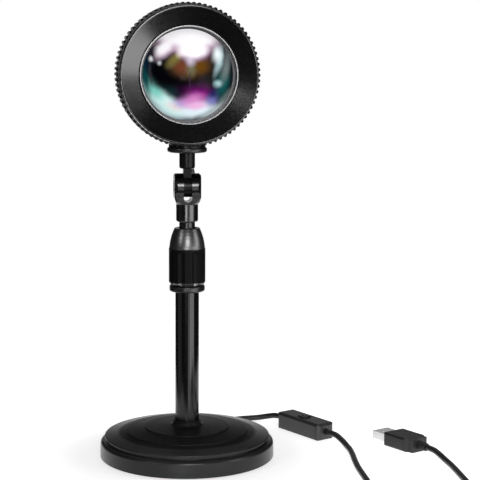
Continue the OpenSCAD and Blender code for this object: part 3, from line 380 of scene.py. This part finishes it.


# Patches painted on the lens, the lowest layer first: tints of the coating, painted
# shade of the dark bore and painted reflections and highlights of the pale studio.
# Each gives its middle in mm from the optical axis as seen from the front, half width
# and half height in mm, turn in degrees, softness, colour
LENS_TINTS_AND_PAINTED_REFLECTIONS = [
    ((-0.6, -18.9), (17.1, 5.1), 1, 0.5, (0.74, 0.86, 0.93)),
    ((-14.3, -13.9), (12.6, 5.2), -42, 0.5, (0.62, 0.9, 0.88)),
    ((-19.4, -7.3), (6.7, 3.5), -53, 0.6, (0.22, 0.62, 0.54)),
    ((-8.5, -17.1), (4.5, 2.3), -25, 0.9, (0.82, 0.76, 0.74)),
    ((19.0, -14.8), (7.9, 2.3), 52, 0.6, (0.16, 0.2, 0.2)),
    ((13.6, -19.7), (6.8, 2.0), 33, 0.7, (0.52, 0.62, 0.64)),
    ((-3.9, -14.8), (4.8, 2.9), 0, 0.9, (0.42, 0.3, 0.62)),
    ((4.4, -9.2), (7.2, 4.9), 0, 0.9, (0.25, 0.012, 0.21)),
    ((1.3, -13.1), (6.1, 3.1), 0, 1.0, (0.58, 0.2, 0.5)),
    ((3.2, -16.6), (5.8, 2.1), 0, 1.0, (0.8, 0.42, 0.7)),
    ((12.3, -13.6), (3.3, 2.7), 29, 1.0, (0.2, 0.2, 0.5)),
    ((13.3, -9.5), (3.1, 3.3), -1, 1.0, (0.015, 0.015, 0.1)),
    ((5.1, -6.2), (7.9, 2.8), 0, 1.0, (0.07, 0.004, 0.07)),
    ((-6.6, -7.8), (4.8, 4.0), -30, 0.9, (0.015, 0.001, 0.02)),
    ((-13.7, -5.5), (8.3, 3.6), -42, 0.8, (0.005, 0.025, 0.028)),
    ((-2.7, -2.6), (16.1, 4.0), 0, 0.7, (0.002, 0.001, 0.002)),
    ((-15.2, 1.7), (7.0, 8.8), 16, 0.5, (0.001, 0.001, 0.002)),
    ((12.2, 1.4), (4.7, 8.5), 0, 0.6, (0.001, 0.001, 0.002)),
    ((-23.7, -0.9), (1.9, 8.9), 9, 0.8, (0.004, 0.06, 0.065)),
    ((-22.7, 6.8), (1.8, 4.0), 2, 0.8, (0.003, 0.012, 0.03)),
    ((-21.1, 2.0), (0.6, 6.4), 6, 1.0, (0.03, 0.028, 0.035)),
    ((18.7, -4.3), (3.6, 7.3), -8, 0.8, (0.004, 0.08, 0.08)),
    ((21.1, 6.0), (2.3, 9.6), -16, 0.7, (0.14, 0.17, 0.17)),
    ((-0.2, 5.4), (10.1, 6.4), 0, 0.6, (0.07, 0.032, 0.008)),
    ((-5.0, 5.0), (3.6, 3.6), 0, 1.0, (0.14, 0.04, 0.018)),
    ((5.1, 6.2), (4.1, 4.0), 0, 1.0, (0.12, 0.045, 0.003)),
    ((0.4, 3.4), (2.2, 3.6), 0, 1.0, (0.12, 0.11, 0.05)),
    ((0.1, 13.4), (16.4, 5.2), 0, 0.6, (0.09, 0.045, 0.07)),
    ((-8.1, 8.8), (4.8, 2.3), 42, 0.9, (0.17, 0.145, 0.035)),
    ((-5.8, 11.2), (2.0, 1.4), 41, 1.0, (0.42, 0.38, 0.16)),
    ((-0.1, 19.4), (18.0, 7.0), -1, 0.4, (0.55, 0.4, 0.52)),
    ((-11.4, 14.9), (8.2, 2.7), 42, 0.6, (0.6, 0.45, 0.57)),
    ((1.2, 13.0), (8.2, 4.8), 0, 0.5, (0.6, 0.44, 0.58)),
    ((0.0, 8.0), (2.4, 2.4), 0, 1.0, (0.52, 0.44, 0.55)),
    ((-0.1, 21.9), (17.4, 6.2), -1, 0.3, (0.96, 0.94, 0.97)),
    ((1.3, 14.2), (7.8, 4.8), 0, 0.4, (0.97, 0.94, 0.98)),
    ((-13.9, 14.9), (5.5, 2.7), 45, 0.5, (0.95, 0.92, 0.95)),
    ((16.7, 8.2), (1.9, 7.5), -18, 0.8, (0.34, 0.48, 0.5)),
    ((15.6, 11.9), (2.6, 4.3), -18, 0.9, (0.8, 0.88, 0.9)),
    ((-0.3, -3.4), (0.4, 5.2), 0, 0.9, (0.04, 0.016, 0.04)),
    ((-21.1, 8.7), (1.0, 1.1), 1, 1.0, (0.85, 0.88, 0.88)),
    ((-16.5, 6.6), (1.1, 1.1), 1, 1.0, (0.5, 0.54, 0.54)),
    ((15.5, -4.8), (1.9, 1.7), -1, 1.0, (0.32, 0.5, 0.52)),
]

# One soft oval patch of colour over what lies below it
patch_group, given, made = effect(
    "soft_patch",
    {"Place": VECTOR, "Middle": VECTOR, "Turn": VECTOR, "Size": VECTOR, "Softness": NUMBER,
     "Below": COLOUR, "Tone": COLOUR},
    {"Colour": COLOUR})
nodes, links = patch_group.nodes, patch_group.links
oval = nodes.new("ShaderNodeMapping")
oval.vector_type = "TEXTURE"
for label, socket in (("Place", "Vector"), ("Middle", "Location"), ("Turn", "Rotation"),
                      ("Size", "Scale")):
    links.new(given.outputs[label], oval.inputs[socket])
reach = nodes.new("ShaderNodeVectorMath")
reach.operation = "LENGTH"
links.new(oval.outputs["Vector"], reach.inputs[0])
mask = nodes.new("ShaderNodeMapRange")
mask.interpolation_type = "SMOOTHSTEP"
mask.inputs["To Min"].default_value = 1
mask.inputs["To Max"].default_value = 0
links.new(reach.outputs["Value"], mask.inputs["Value"])
for share, socket in ((-FADE_INSIDE, "From Min"), (FADE_OUTSIDE, "From Max")):
    limit = nodes.new("ShaderNodeMath")
    limit.operation = "MULTIPLY_ADD"
    limit.inputs[1].default_value = share
    limit.inputs[2].default_value = 1
    links.new(given.outputs["Softness"], limit.inputs[0])
    links.new(limit.outputs["Value"], mask.inputs[socket])
layer = nodes.new("ShaderNodeMix")
layer.data_type = "RGBA"
links.new(mask.outputs["Result"], layer.inputs["Factor"])
links.new(given.outputs["Below"], layer.inputs["A"])
links.new(given.outputs["Tone"], layer.inputs["B"])
links.new(layer.outputs["Result"], made.inputs["Colour"])


def lens_with_painted_light():
    """Opaque glass whose colours are soft patches laid out from the optical axis: tints, painted
    shade and painted reflections, shown with a painted glow.
    """
    material = finish("coated_lens_painted_light", (0.01, 0.014, 0.018), (0.3, 0.34), specular=0.02,
                      relief=0.0)
    nodes, links = material.node_tree.nodes, material.node_tree.links
    face = nodes.new("ShaderNodeGroup")
    face.node_tree = face_group
    ripple = nodes.new("ShaderNodeTexNoise")
    ripple.inputs["Scale"].default_value = RIPPLE_SCALE
    links.new(face.outputs["Place"], ripple.inputs["Vector"])
    wave = nodes.new("ShaderNodeVectorMath")
    wave.operation = "MULTIPLY_ADD"
    wave.inputs[1].default_value = (RIPPLE_REACH, RIPPLE_REACH, 0)
    links.new(ripple.outputs["Color"], wave.inputs[0])
    links.new(face.outputs["Place"], wave.inputs[2])
    bent = nodes.new("ShaderNodeVectorMath")
    bent.operation = "SUBTRACT"
    bent.inputs[1].default_value = (RIPPLE_REACH / 2, RIPPLE_REACH / 2, 0)
    links.new(wave.outputs["Vector"], bent.inputs[0])
    colour = nodes["skin"].outputs["Colour"]
    # Lays the tints, painted shade and painted reflections on one by one
    for middle, size, turn, soft, tone in LENS_TINTS_AND_PAINTED_REFLECTIONS:
        patch = nodes.new("ShaderNodeGroup")
        patch.node_tree = patch_group
        patch.inputs["Middle"].default_value = (middle[0] / 1000, middle[1] / 1000, 0)
        patch.inputs["Turn"].default_value = (0, 0, math.radians(turn))
        patch.inputs["Size"].default_value = (size[0] / 1000, size[1] / 1000, 1)
        patch.inputs["Softness"].default_value = soft
        patch.inputs["Tone"].default_value = (*tone, 1)
        links.new(bent.outputs["Vector"], patch.inputs["Place"])
        links.new(colour, patch.inputs["Below"])
        colour = patch.outputs["Colour"]
    surface = nodes["Principled BSDF"]
    shaded = nodes.new("ShaderNodeVectorMath")
    shaded.operation = "SCALE"
    shaded.inputs["Scale"].default_value = LENS_SHADE
    links.new(colour, shaded.inputs[0])
    links.new(shaded.outputs["Vector"], surface.inputs["Base Color"])
    # Painted glow: the dome gives out its patch colours as light, though it is no lamp
    links.new(colour, surface.inputs["Emission Color"])
    surface.inputs["Emission Strength"].default_value = LENS_PAINTED_GLOW
    surface.inputs["Coat Weight"].default_value = LENS_COAT
    surface.inputs["Coat Roughness"].default_value = LENS_COAT_ROUGH
    return material


lens_profile = [(0, DOME_MIDDLE_Y - DOME_BALL)]
for step in range(1, DOME_STEPS + 1):
    tilt = math.asin(DOME_R / DOME_BALL) * step / DOME_STEPS
    lens_profile.append((DOME_BALL * math.sin(tilt), DOME_MIDDLE_Y - DOME_BALL * math.cos(tilt)))
lens_profile += [(DOME_R + RIM_LEDGE, RIM_FRONT_Y), (RIM_R - RIM_BEVEL, RIM_FRONT_Y),
                 (RIM_R, RIM_FRONT_Y + RIM_BEVEL), (RIM_R, RIM_BACK_Y - RIM_BACK_BEVEL),
                 (RIM_R - RIM_BEVEL, RIM_BACK_Y), (0, RIM_BACK_Y)]
lens = turned("lens_dome", lens_profile, DOME_SIDES)
lens.data.materials.append(lens_with_painted_light())
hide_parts("lens_glass")
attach(lens, "head")

# ----------------------------------------------- light source behind the lens
# A colour-coated glass, a bright reflector and an LED on an aluminium board, which
# is screwed to the web over a soft pad that carries the heat. The infrared receiver
# sits beside the LED, and the board that drives them is behind the web.

dress(finish("coated_filter", (0.6, 0.2, 0.45), (0.08, 0.14), metallic=0.5, tint=0.4),
      "colour_filter")
dress(finish("bright_reflector", (0.85, 0.85, 0.87), (0.05, 0.1), metallic=1.0, tint=0.03),
      "reflector")
dress(finish("phosphor", (0.85, 0.68, 0.15), (0.5, 0.6), tint=0.08), "led_chip")
dress(finish("infrared_window", (0.03, 0.008, 0.02), (0.1, 0.15)), "ir_receiver")
dress(finish("white_mask", (0.8, 0.8, 0.77), (0.3, 0.4), tint=0.04), "led_board")
dress(zinc, "led_screws")
dress(finish("heat_pad", (0.33, 0.38, 0.42), (0.7, 0.85)), "thermal_pad")
dress(finish("green_mask", (0.015, 0.14, 0.05), (0.25, 0.35), tint=0.2), "driver_board")
dress(finish("red_wire", (0.5, 0.02, 0.02), (0.35, 0.5)), "head_wires")

# ----------------------------------------------------------------- rear cover
# A pressed cover with radial slots that let the warm air out. Three screws sunk
# in round pockets hold it, and the rubber gland for the lead snaps into it below.

dress(finish("cover_satin", (0.011, 0.011, 0.012), (0.34, 0.44), specular=0.45), "rear_cover")
dress(black_oxide, "rear_screws")
boot_rubber = finish("boot_rubber", (0.014, 0.014, 0.015), (0.5, 0.62), specular=0.4)
dress(boot_rubber, "cable_gland")

# ------------------------------------------------------------------- lead
# A round two-core lead in a satin black jacket. It hangs from the gland behind
# the pole, crosses the table to the switch, and ends in a tied coil and a plug.

LEAD_R, LEAD_SIDES = 0.0017, 16
SAME_POINT = 0.00001
# The coil, in mm: half of its turns wind inwards on the table and half outwards on top
COIL_TURNS, COIL_PITCH, COIL_MEAN_R, COIL_RINGS = 6.5, 3.85, 20.4, 24
COIL_CLIMB_TURNS, COIL_LOW_Z, COIL_MIDDLE_Y = 0.5, 2.3, -126.4
COIL_NEAR_X = 92.5
COIL_IN_R = COIL_MEAN_R - COIL_PITCH * COIL_TURNS / 4
COIL_OUT_R = COIL_MEAN_R + COIL_PITCH * COIL_TURNS / 4
COIL_MIDDLE_X, COIL_FAR_X = COIL_NEAR_X + COIL_OUT_R, COIL_NEAR_X + 2 * COIL_OUT_R
# The routes outside the coil, in mm, each towards the plug
UPPER_ROUTE = [
    (0, 34, 192), (0, 38, 192), (1, 43.5, 191), (2.2, 49, 188), (3.3, 54, 183),
    (4.5, 57.2, 176.5), (5.6, 58.6, 169), (7.6, 59, 160), (9.3, 59, 151),
    (9.7, 59, 144), (9.2, 59, 137), (7.9, 59, 129), (7.2, 59, 120), (6.6, 59, 110)]
LOWER_ROUTE = [
    (6.6, 59, 110), (6, 59, 100), (5.4, 59, 90), (4.9, 59, 80), (4.7, 59, 70),
    (4.7, 59, 60), (4.7, 59, 50), (4.7, 59, 40), (4.7, 59, 30), (4.7, 59, 24)]
SWITCH_ROUTE = [
    (4.7, 59, 24), (4.7, 59, 20), (6.2, 59.2, 12.5), (10.2, 60, 6.2), (16.5, 61.2, 2.6),
    (24, 64.4, 1.8), (32, 68.2, 1.8), (40, 71.2, 1.8), (47.6, 72.2, 1.9), (52.3, 71.6, 2.4),
    (56.6, 69.8, 3.4), (60.3, 66.9, 4.5), (63.2, 63.3, 5), (66, 58.45, 5)]
COIL_ROUTE = [
    (86, 23.75, 5), (89, 18.6, 5), (90.8, 15.2, 4.8), (93.2, 9.6, 3.2), (94.6, 3, 1.9),
    (95, -5, 1.8), (94.6, -14, 1.8), (93.8, -23, 1.8), (93.1, -32, 1.8), (92.6, -41, 1.8),
    (COIL_NEAR_X, -50, 1.8), (COIL_NEAR_X, -60, 1.8), (COIL_NEAR_X, -70, 1.8),
    (COIL_NEAR_X, -80, 1.8), (COIL_NEAR_X, -90, 1.8), (COIL_NEAR_X, -100, 2),
    (COIL_NEAR_X, -110, 2.2), (COIL_NEAR_X, -118, COIL_LOW_Z), (COIL_NEAR_X, -123, COIL_LOW_Z)]
PLUG_ROUTE = [
    (COIL_FAR_X, -123, COIL_LOW_Z + COIL_PITCH), (COIL_FAR_X, -116, 6.1), (COIL_FAR_X, -106, 5),
    (COIL_FAR_X, -96, 3.2), (COIL_FAR_X, -87, 2.1), (COIL_FAR_X, -77, 1.8),
    (COIL_FAR_X, -67, 1.8), (COIL_FAR_X, -57, 1.8), (145.8, -48, 1.8), (145.6, -40, 1.8),
    (145, -32, 1.9), (143.8, -24.6, 2.7), (142.1, -18.8, 3.7), (140, -14.38, 4),
    (138.82, -12.33, 4)]


def coil_point(turn):
    """Centre of the lead after so many turns: in along the lower layer, out along the upper."""
    outwards = turn - COIL_TURNS / 2
    radius = COIL_IN_R + COIL_PITCH * abs(outwards)
    angle = math.pi + math.tau * turn
    climb = max(0, min(1, outwards / COIL_CLIMB_TURNS + 0.5))
    return (COIL_MIDDLE_X + radius * math.cos(angle), COIL_MIDDLE_Y + radius * math.sin(angle),
            COIL_LOW_Z + COIL_PITCH * climb)


def smooth_line(points, steps=4):
    """Smooth curve through points in mm, as points in metres."""
    points = [Vector(p) / 1000 for p in points]
    ends = [points[0] * 2 - points[1], *points, points[-1] * 2 - points[-2]]
    line = []
    for a, b, c, d in zip(ends, ends[1:], ends[2:], ends[3:]):
        for k in range(steps):
            t = k / steps
            line.append(0.5 * (2 * b + (c - a) * t + (2 * a - 5 * b + 4 * c - d) * t * t
                               + (3 * b - a - 3 * c + d) * t ** 3))
    return line + [points[-1]]


def round_lead(name, line):
    """Round jacket swept along a line without twist."""
    mesh = bpy.data.meshes.new(name)
    shape = bmesh.new()
    side = Vector((0, 0, 1)).cross(line[1] - line[0])
    rings = []
    for i, point in enumerate(line):
        ahead = (line[min(i + 1, len(line) - 1)] - line[max(i - 1, 0)]).normalized()
        side = (side - ahead * side.dot(ahead)).normalized()
        up = ahead.cross(side)
        angles = [math.tau * k / LEAD_SIDES for k in range(LEAD_SIDES)]
        rings.append([shape.verts.new(point + LEAD_R * (math.cos(a) * side + math.sin(a) * up))
                      for a in angles])
    for near, far in zip(rings, rings[1:]):
        for k in range(LEAD_SIDES):
            j = (k + 1) % LEAD_SIDES
            shape.faces.new((near[k], near[j], far[j], far[k])).smooth = True
    shape.faces.new(rings[0][::-1])
    shape.faces.new(rings[-1])
    bmesh.ops.recalc_face_normals(shape, faces=shape.faces)
    shape.to_mesh(mesh)
    shape.free()
    piece = bpy.data.objects.new(name, mesh)
    bpy.context.collection.objects.link(piece)
    piece.data.materials.append(lead_jacket)
    return piece


lead_jacket = finish("lead_jacket", (0.012, 0.012, 0.013), (0.36, 0.46), specular=0.4,
                     grain=500.0, relief=0.00001)
# Each stretch is swept as a round lead along its route; the two places, the two bodies it runs
# between, its far end and the parts on it are listed but not used
for name, route, first, last, bodies, far_end, on_it in (
        ("lead_from_head", UPPER_ROUTE, (0.001, 0.04, 0.191), (0.0067, 0.059, 0.112),
         ("head", "yoke"), "object", ()),
        ("lead_behind_pole", LOWER_ROUTE, (0.0065, 0.059, 0.108), (0.0047, 0.059, 0.026),
         ("yoke", "mast"), "object", ()),
        ("lead_to_the_switch", SWITCH_ROUTE, (0.0047, 0.059, 0.022), (0.06, 0.067, 0.002),
         ("mast", "stand"), "fitting",
         ("switch_bottom", "switch_top", "switch_button", "switch_module", "switch_grommets"))):
    line = smooth_line(route)
    part = round_lead(name, line)
    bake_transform(part)
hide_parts("lead_upper")
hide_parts("lead_lower")
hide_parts("lead_to_switch")

coil_line = [Vector(coil_point(i / COIL_RINGS)) / 1000
             for i in range(int(COIL_TURNS * COIL_RINGS) + 1)]
rest_line = smooth_line(COIL_ROUTE) + coil_line[1:] + smooth_line(PLUG_ROUTE)
rest_line = [p for i, p in enumerate(rest_line)
             if i == 0 or (p - rest_line[i - 1]).length > SAME_POINT]
lead_rest = round_lead("lead_to_the_plug", rest_line)
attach(lead_rest, "stand")
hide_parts("lead_to_coil", "lead_coil", "lead_to_plug")
dress(finish("tie_band", (0.03, 0.03, 0.032), (0.85, 0.95), relief=0.00015), "coil_tie")

# ------------------------------------------------------------ in-line switch
# Two moulded half shells clipped round a small board, with a round push button
# in a dished well and a rubber grommet at each end. The shell has the even satin
# of a sparked mould.

switch_plastic = finish("switch_plastic", (0.02, 0.02, 0.021), (0.34, 0.42), specular=0.6,
                        relief=0.00002, relief_scale=2600.0)
dress(switch_plastic, "switch_bottom", "switch_top")
dress(finish("button_plastic", (0.014, 0.014, 0.015), (0.22, 0.3)), "switch_button")
dress(nylon, "switch_module")
dress(boot_rubber, "switch_grommets")

# ------------------------------------------------------------------- plug
# A folded steel shell round a white tongue with four gold contacts, moulded
# into a black grip with stepped shoulders and a short boot.

dress(finish("plug_plastic", (0.013, 0.013, 0.014), (0.36, 0.46), specular=0.4,
             relief=0.00002, relief_scale=2400.0), "plug_grip")
dress(boot_rubber, "plug_boot")
dress(finish("plug_nickel", (0.88, 0.88, 0.89), (0.24, 0.32), metallic=0.5, tint=0.04),
      "plug_shell")
dress(finish("tongue_white", (0.82, 0.82, 0.8), (0.4, 0.5), tint=0.03), "plug_tongue")
dress(finish("contact_gold", (0.83, 0.6, 0.22), (0.16, 0.24), metallic=1.0), "plug_contacts")

# ------------------------------------------------------- table and background
# A small white table top in front of a white wall, as in the photograph. The
# camera, glass and metal see both as white, and the table keeps a soft shadow, part
# of it cast and part of it painted as a dimmer glow round the foot. It lets the low
# soft boxes shine through, and the studio beside the wall is dark.

TABLE_OUTLINE = [(-0.14, -0.12), (0.06, -0.12), (0.06, -0.18), (0.22, -0.18), (0.22, 0.2),
                 (-0.14, 0.2)]
# The table lies this much under the foot pad, so that the two never share a face
TABLE_GAP = 0.0002
# Its glow fades towards the lamp between two distances from the pole, as a painted shadow round
# the foot
PAINTED_SHADOW_INNER, PAINTED_SHADOW_OUTER, GLOW_IN_PAINTED_SHADOW, GLOW_FAR = 0.05, 0.13, 0.6, 1.0
TABLE_LIGHT, TABLE_DARK = (0.6, 0.6, 0.6, 1), (0.3, 0.3, 0.3, 1)
# The direction of the wall from the lamp, and the cosines between which it fades out
WALL_WAY, WALL_END, WALL_START = (0.117, 0.984, -0.132), 0.92, 0.97
WALL_WHITE, STUDIO_DARK, STUDIO_LIGHT = 1.0, 0.04, 0.14
PURE_WHITE = (1, 1, 1, 1)


def seen_factor(nodes, links):
    """1 for camera, glossy and transmission rays, 0 for diffuse light."""
    seen = nodes.new("ShaderNodeLightPath")
    total = seen.outputs["Is Camera Ray"]
    for ray in ("Is Glossy Ray", "Is Transmission Ray"):
        either = nodes.new("ShaderNodeMath")
        either.operation = "MAXIMUM"
        links.new(total, either.inputs[0])
        links.new(seen.outputs[ray], either.inputs[1])
        total = either.outputs["Value"]
    return total


floor_mesh = bpy.data.meshes.new("table_top")
floor_mesh.from_pydata([(x, y, 0) for x, y in TABLE_OUTLINE], [], [range(len(TABLE_OUTLINE))])
table_top = bpy.data.objects.new("table_top", floor_mesh)
table_top.location.z = -TABLE_GAP
bpy.context.collection.objects.link(table_top)

# White to the camera and brighter away from the lamp, so that its edge can't be seen; the dimmer
# glow round the foot is a painted shadow
table_white = bpy.data.materials.new("table_white")
table_white.use_nodes = True
nodes, links = table_white.node_tree.nodes, table_white.node_tree.links
nodes.clear()
place = nodes.new("ShaderNodeTexCoord")
reach = nodes.new("ShaderNodeVectorMath")
reach.operation = "LENGTH"
links.new(place.outputs["Object"], reach.inputs[0])
painted_shadow_fade = nodes.new("ShaderNodeMapRange")
painted_shadow_fade.interpolation_type = "SMOOTHSTEP"
painted_shadow_fade.inputs["From Min"].default_value = PAINTED_SHADOW_INNER
painted_shadow_fade.inputs["From Max"].default_value = PAINTED_SHADOW_OUTER
painted_shadow_fade.inputs["To Min"].default_value = GLOW_IN_PAINTED_SHADOW
painted_shadow_fade.inputs["To Max"].default_value = GLOW_FAR
links.new(reach.outputs["Value"], painted_shadow_fade.inputs["Value"])
glow = nodes.new("ShaderNodeEmission")
links.new(painted_shadow_fade.outputs["Result"], glow.inputs["Strength"])
matte = nodes.new("ShaderNodeBsdfDiffuse")
matte.inputs["Color"].default_value = TABLE_LIGHT
lit = nodes.new("ShaderNodeAddShader")
links.new(matte.outputs["BSDF"], lit.inputs[0])
links.new(glow.outputs["Emission"], lit.inputs[1])
# A darker plain grey for the light that it throws back on the lamp
grey = nodes.new("ShaderNodeBsdfDiffuse")
grey.inputs["Color"].default_value = TABLE_DARK
choose = nodes.new("ShaderNodeMixShader")
links.new(seen_factor(nodes, links), choose.inputs[0])
links.new(grey.outputs["BSDF"], choose.inputs[1])
links.new(lit.outputs["Shader"], choose.inputs[2])
# Nothing to shadow rays, so that the low boxes light the foot of the lamp
seen = nodes.new("ShaderNodeLightPath")
clear = nodes.new("ShaderNodeBsdfTransparent")
solid = nodes.new("ShaderNodeMixShader")
links.new(seen.outputs["Is Shadow Ray"], solid.inputs[0])
links.new(choose.outputs["Shader"], solid.inputs[1])
links.new(clear.outputs["BSDF"], solid.inputs[2])
out = nodes.new("ShaderNodeOutputMaterial")
links.new(solid.outputs["Shader"], out.inputs["Surface"])
floor_mesh.materials.append(table_white)

# The wall behind the lamp, which the camera sees all round it
world = bpy.data.worlds.new("studio")
bpy.context.scene.world = world
world.use_nodes = True
nodes, links = world.node_tree.nodes, world.node_tree.links
nodes.clear()
place = nodes.new("ShaderNodeTexCoord")
behind = nodes.new("ShaderNodeVectorMath")
behind.operation = "DOT_PRODUCT"
behind.inputs[1].default_value = WALL_WAY
links.new(place.outputs["Generated"], behind.inputs[0])
wall = nodes.new("ShaderNodeMapRange")
wall.interpolation_type = "SMOOTHSTEP"
wall.inputs["From Min"].default_value = WALL_END
wall.inputs["From Max"].default_value = WALL_START
wall.inputs["To Min"].default_value = STUDIO_DARK
wall.inputs["To Max"].default_value = WALL_WHITE
links.new(behind.outputs["Value"], wall.inputs["Value"])
seen = nodes.new("ShaderNodeLightPath")
shown = nodes.new("ShaderNodeMath")
shown.operation = "MAXIMUM"
links.new(seen.outputs["Is Camera Ray"], shown.inputs[0])
links.new(wall.outputs["Result"], shown.inputs[1])
white = nodes.new("ShaderNodeBackground")
white.inputs["Color"].default_value = PURE_WHITE
links.new(shown.outputs["Value"], white.inputs["Strength"])
dim = nodes.new("ShaderNodeBackground")
dim.inputs["Color"].default_value = PURE_WHITE
dim.inputs["Strength"].default_value = STUDIO_LIGHT
choose = nodes.new("ShaderNodeMixShader")
links.new(seen_factor(nodes, links), choose.inputs[0])
links.new(dim.outputs["Background"], choose.inputs[1])
links.new(white.outputs["Background"], choose.inputs[2])
out = nodes.new("ShaderNodeOutputWorld")
links.new(choose.outputs["Shader"], out.inputs["Surface"])

# ------------------------------------------------------------------- lights
# Soft boxes all round: those in front and at the sides give the long streaks down
# the pole and on the head, and those behind and above show the vents and the base.

LAMP_MIDDLE = Vector((0, 0, 0.15))


def soft_box(name, azimuth, height, distance, wide, tall, radiance):
    """Area light that looks at the middle of the lamp, from a direction in degrees."""
    lamp = bpy.data.lights.new(name, "AREA")
    lamp.shape = "RECTANGLE"
    lamp.size, lamp.size_y = wide, tall
    lamp.energy = radiance * math.pi * wide * tall
    box = bpy.data.objects.new(name, lamp)
    a = math.radians(azimuth)
    box.location = (distance * math.sin(a), -distance * math.cos(a), height)
    away = (box.location - LAMP_MIDDLE).normalized()
    box.rotation_mode = "QUATERNION"
    box.rotation_quaternion = away.to_track_quat("Z", "Y")
    bpy.context.collection.objects.link(box)


# Name, degrees from the front towards the right, then in metres the height of its
# middle, its distance, its width and its height, and last how bright it looks
for values in (
        ("box_right_low", 44, -0.125, 1.2, 0.85, 0.65, 4.4),
        ("box_right_fill", 16, -0.25, 1.3, 0.55, 0.4, 2.2),
        ("box_right_high", 66, 0.5, 1.2, 0.5, 0.7, 3.6),
        ("box_front_high", 0, 0.58, 1.5, 0.56, 0.46, 13.0),
        ("box_front_low", -13, 0.05, 1.5, 0.42, 0.25, 11.0),
        ("box_left_high", -52, 0.7, 1.3, 0.36, 0.4, 7.0),
        ("box_left_low", -80, -0.25, 1.3, 1.0, 0.4, 0.35),
        ("box_top", 180, 1.5, 0.15, 1.2, 0.9, 0.4),
        ("box_back_low", 180, -0.35, 1.3, 1.1, 0.6, 1.8),
        ("box_back_high", 180, 1.4, 0.8, 0.9, 0.6, 1.6)):
    soft_box(*values)

# ------------------------------------------------------------------- camera
# Long lens from the front, a little to the left and above, as fitted to the
# outlines of the base, pole and head in the photograph.

CAMERA_PLACE = (-0.0658, -0.8050, 0.2331)
HEADING, PITCH, ROLL = (math.radians(a) for a in (6.805, 7.578, 0.302))
SENSOR_MM, PICTURE_PIXELS, FOCAL_PIXELS = 36.0, 480, 1432.8
ahead = Vector((math.sin(HEADING) * math.cos(PITCH), math.cos(HEADING) * math.cos(PITCH),
                -math.sin(PITCH)))
right = Vector((math.cos(HEADING), -math.sin(HEADING), 0))
above = right.cross(ahead)
tilted_right = math.cos(ROLL) * right + math.sin(ROLL) * above
tilted_up = math.cos(ROLL) * above - math.sin(ROLL) * right
camera = bpy.data.objects.new("camera", bpy.data.cameras.new("camera"))
camera.data.sensor_width = SENSOR_MM
camera.data.lens = FOCAL_PIXELS * SENSOR_MM / PICTURE_PIXELS
camera.data.clip_start, camera.data.clip_end = 0.05, 20
facing = Matrix((tilted_right, tilted_up, -ahead)).transposed().to_4x4()
camera.matrix_world = Matrix.Translation(CAMERA_PLACE) @ facing
bpy.context.collection.objects.link(camera)
bpy.context.scene.camera = camera
bpy.context.scene.view_settings.view_transform = "Standard"

bpy.context.view_layer.update()
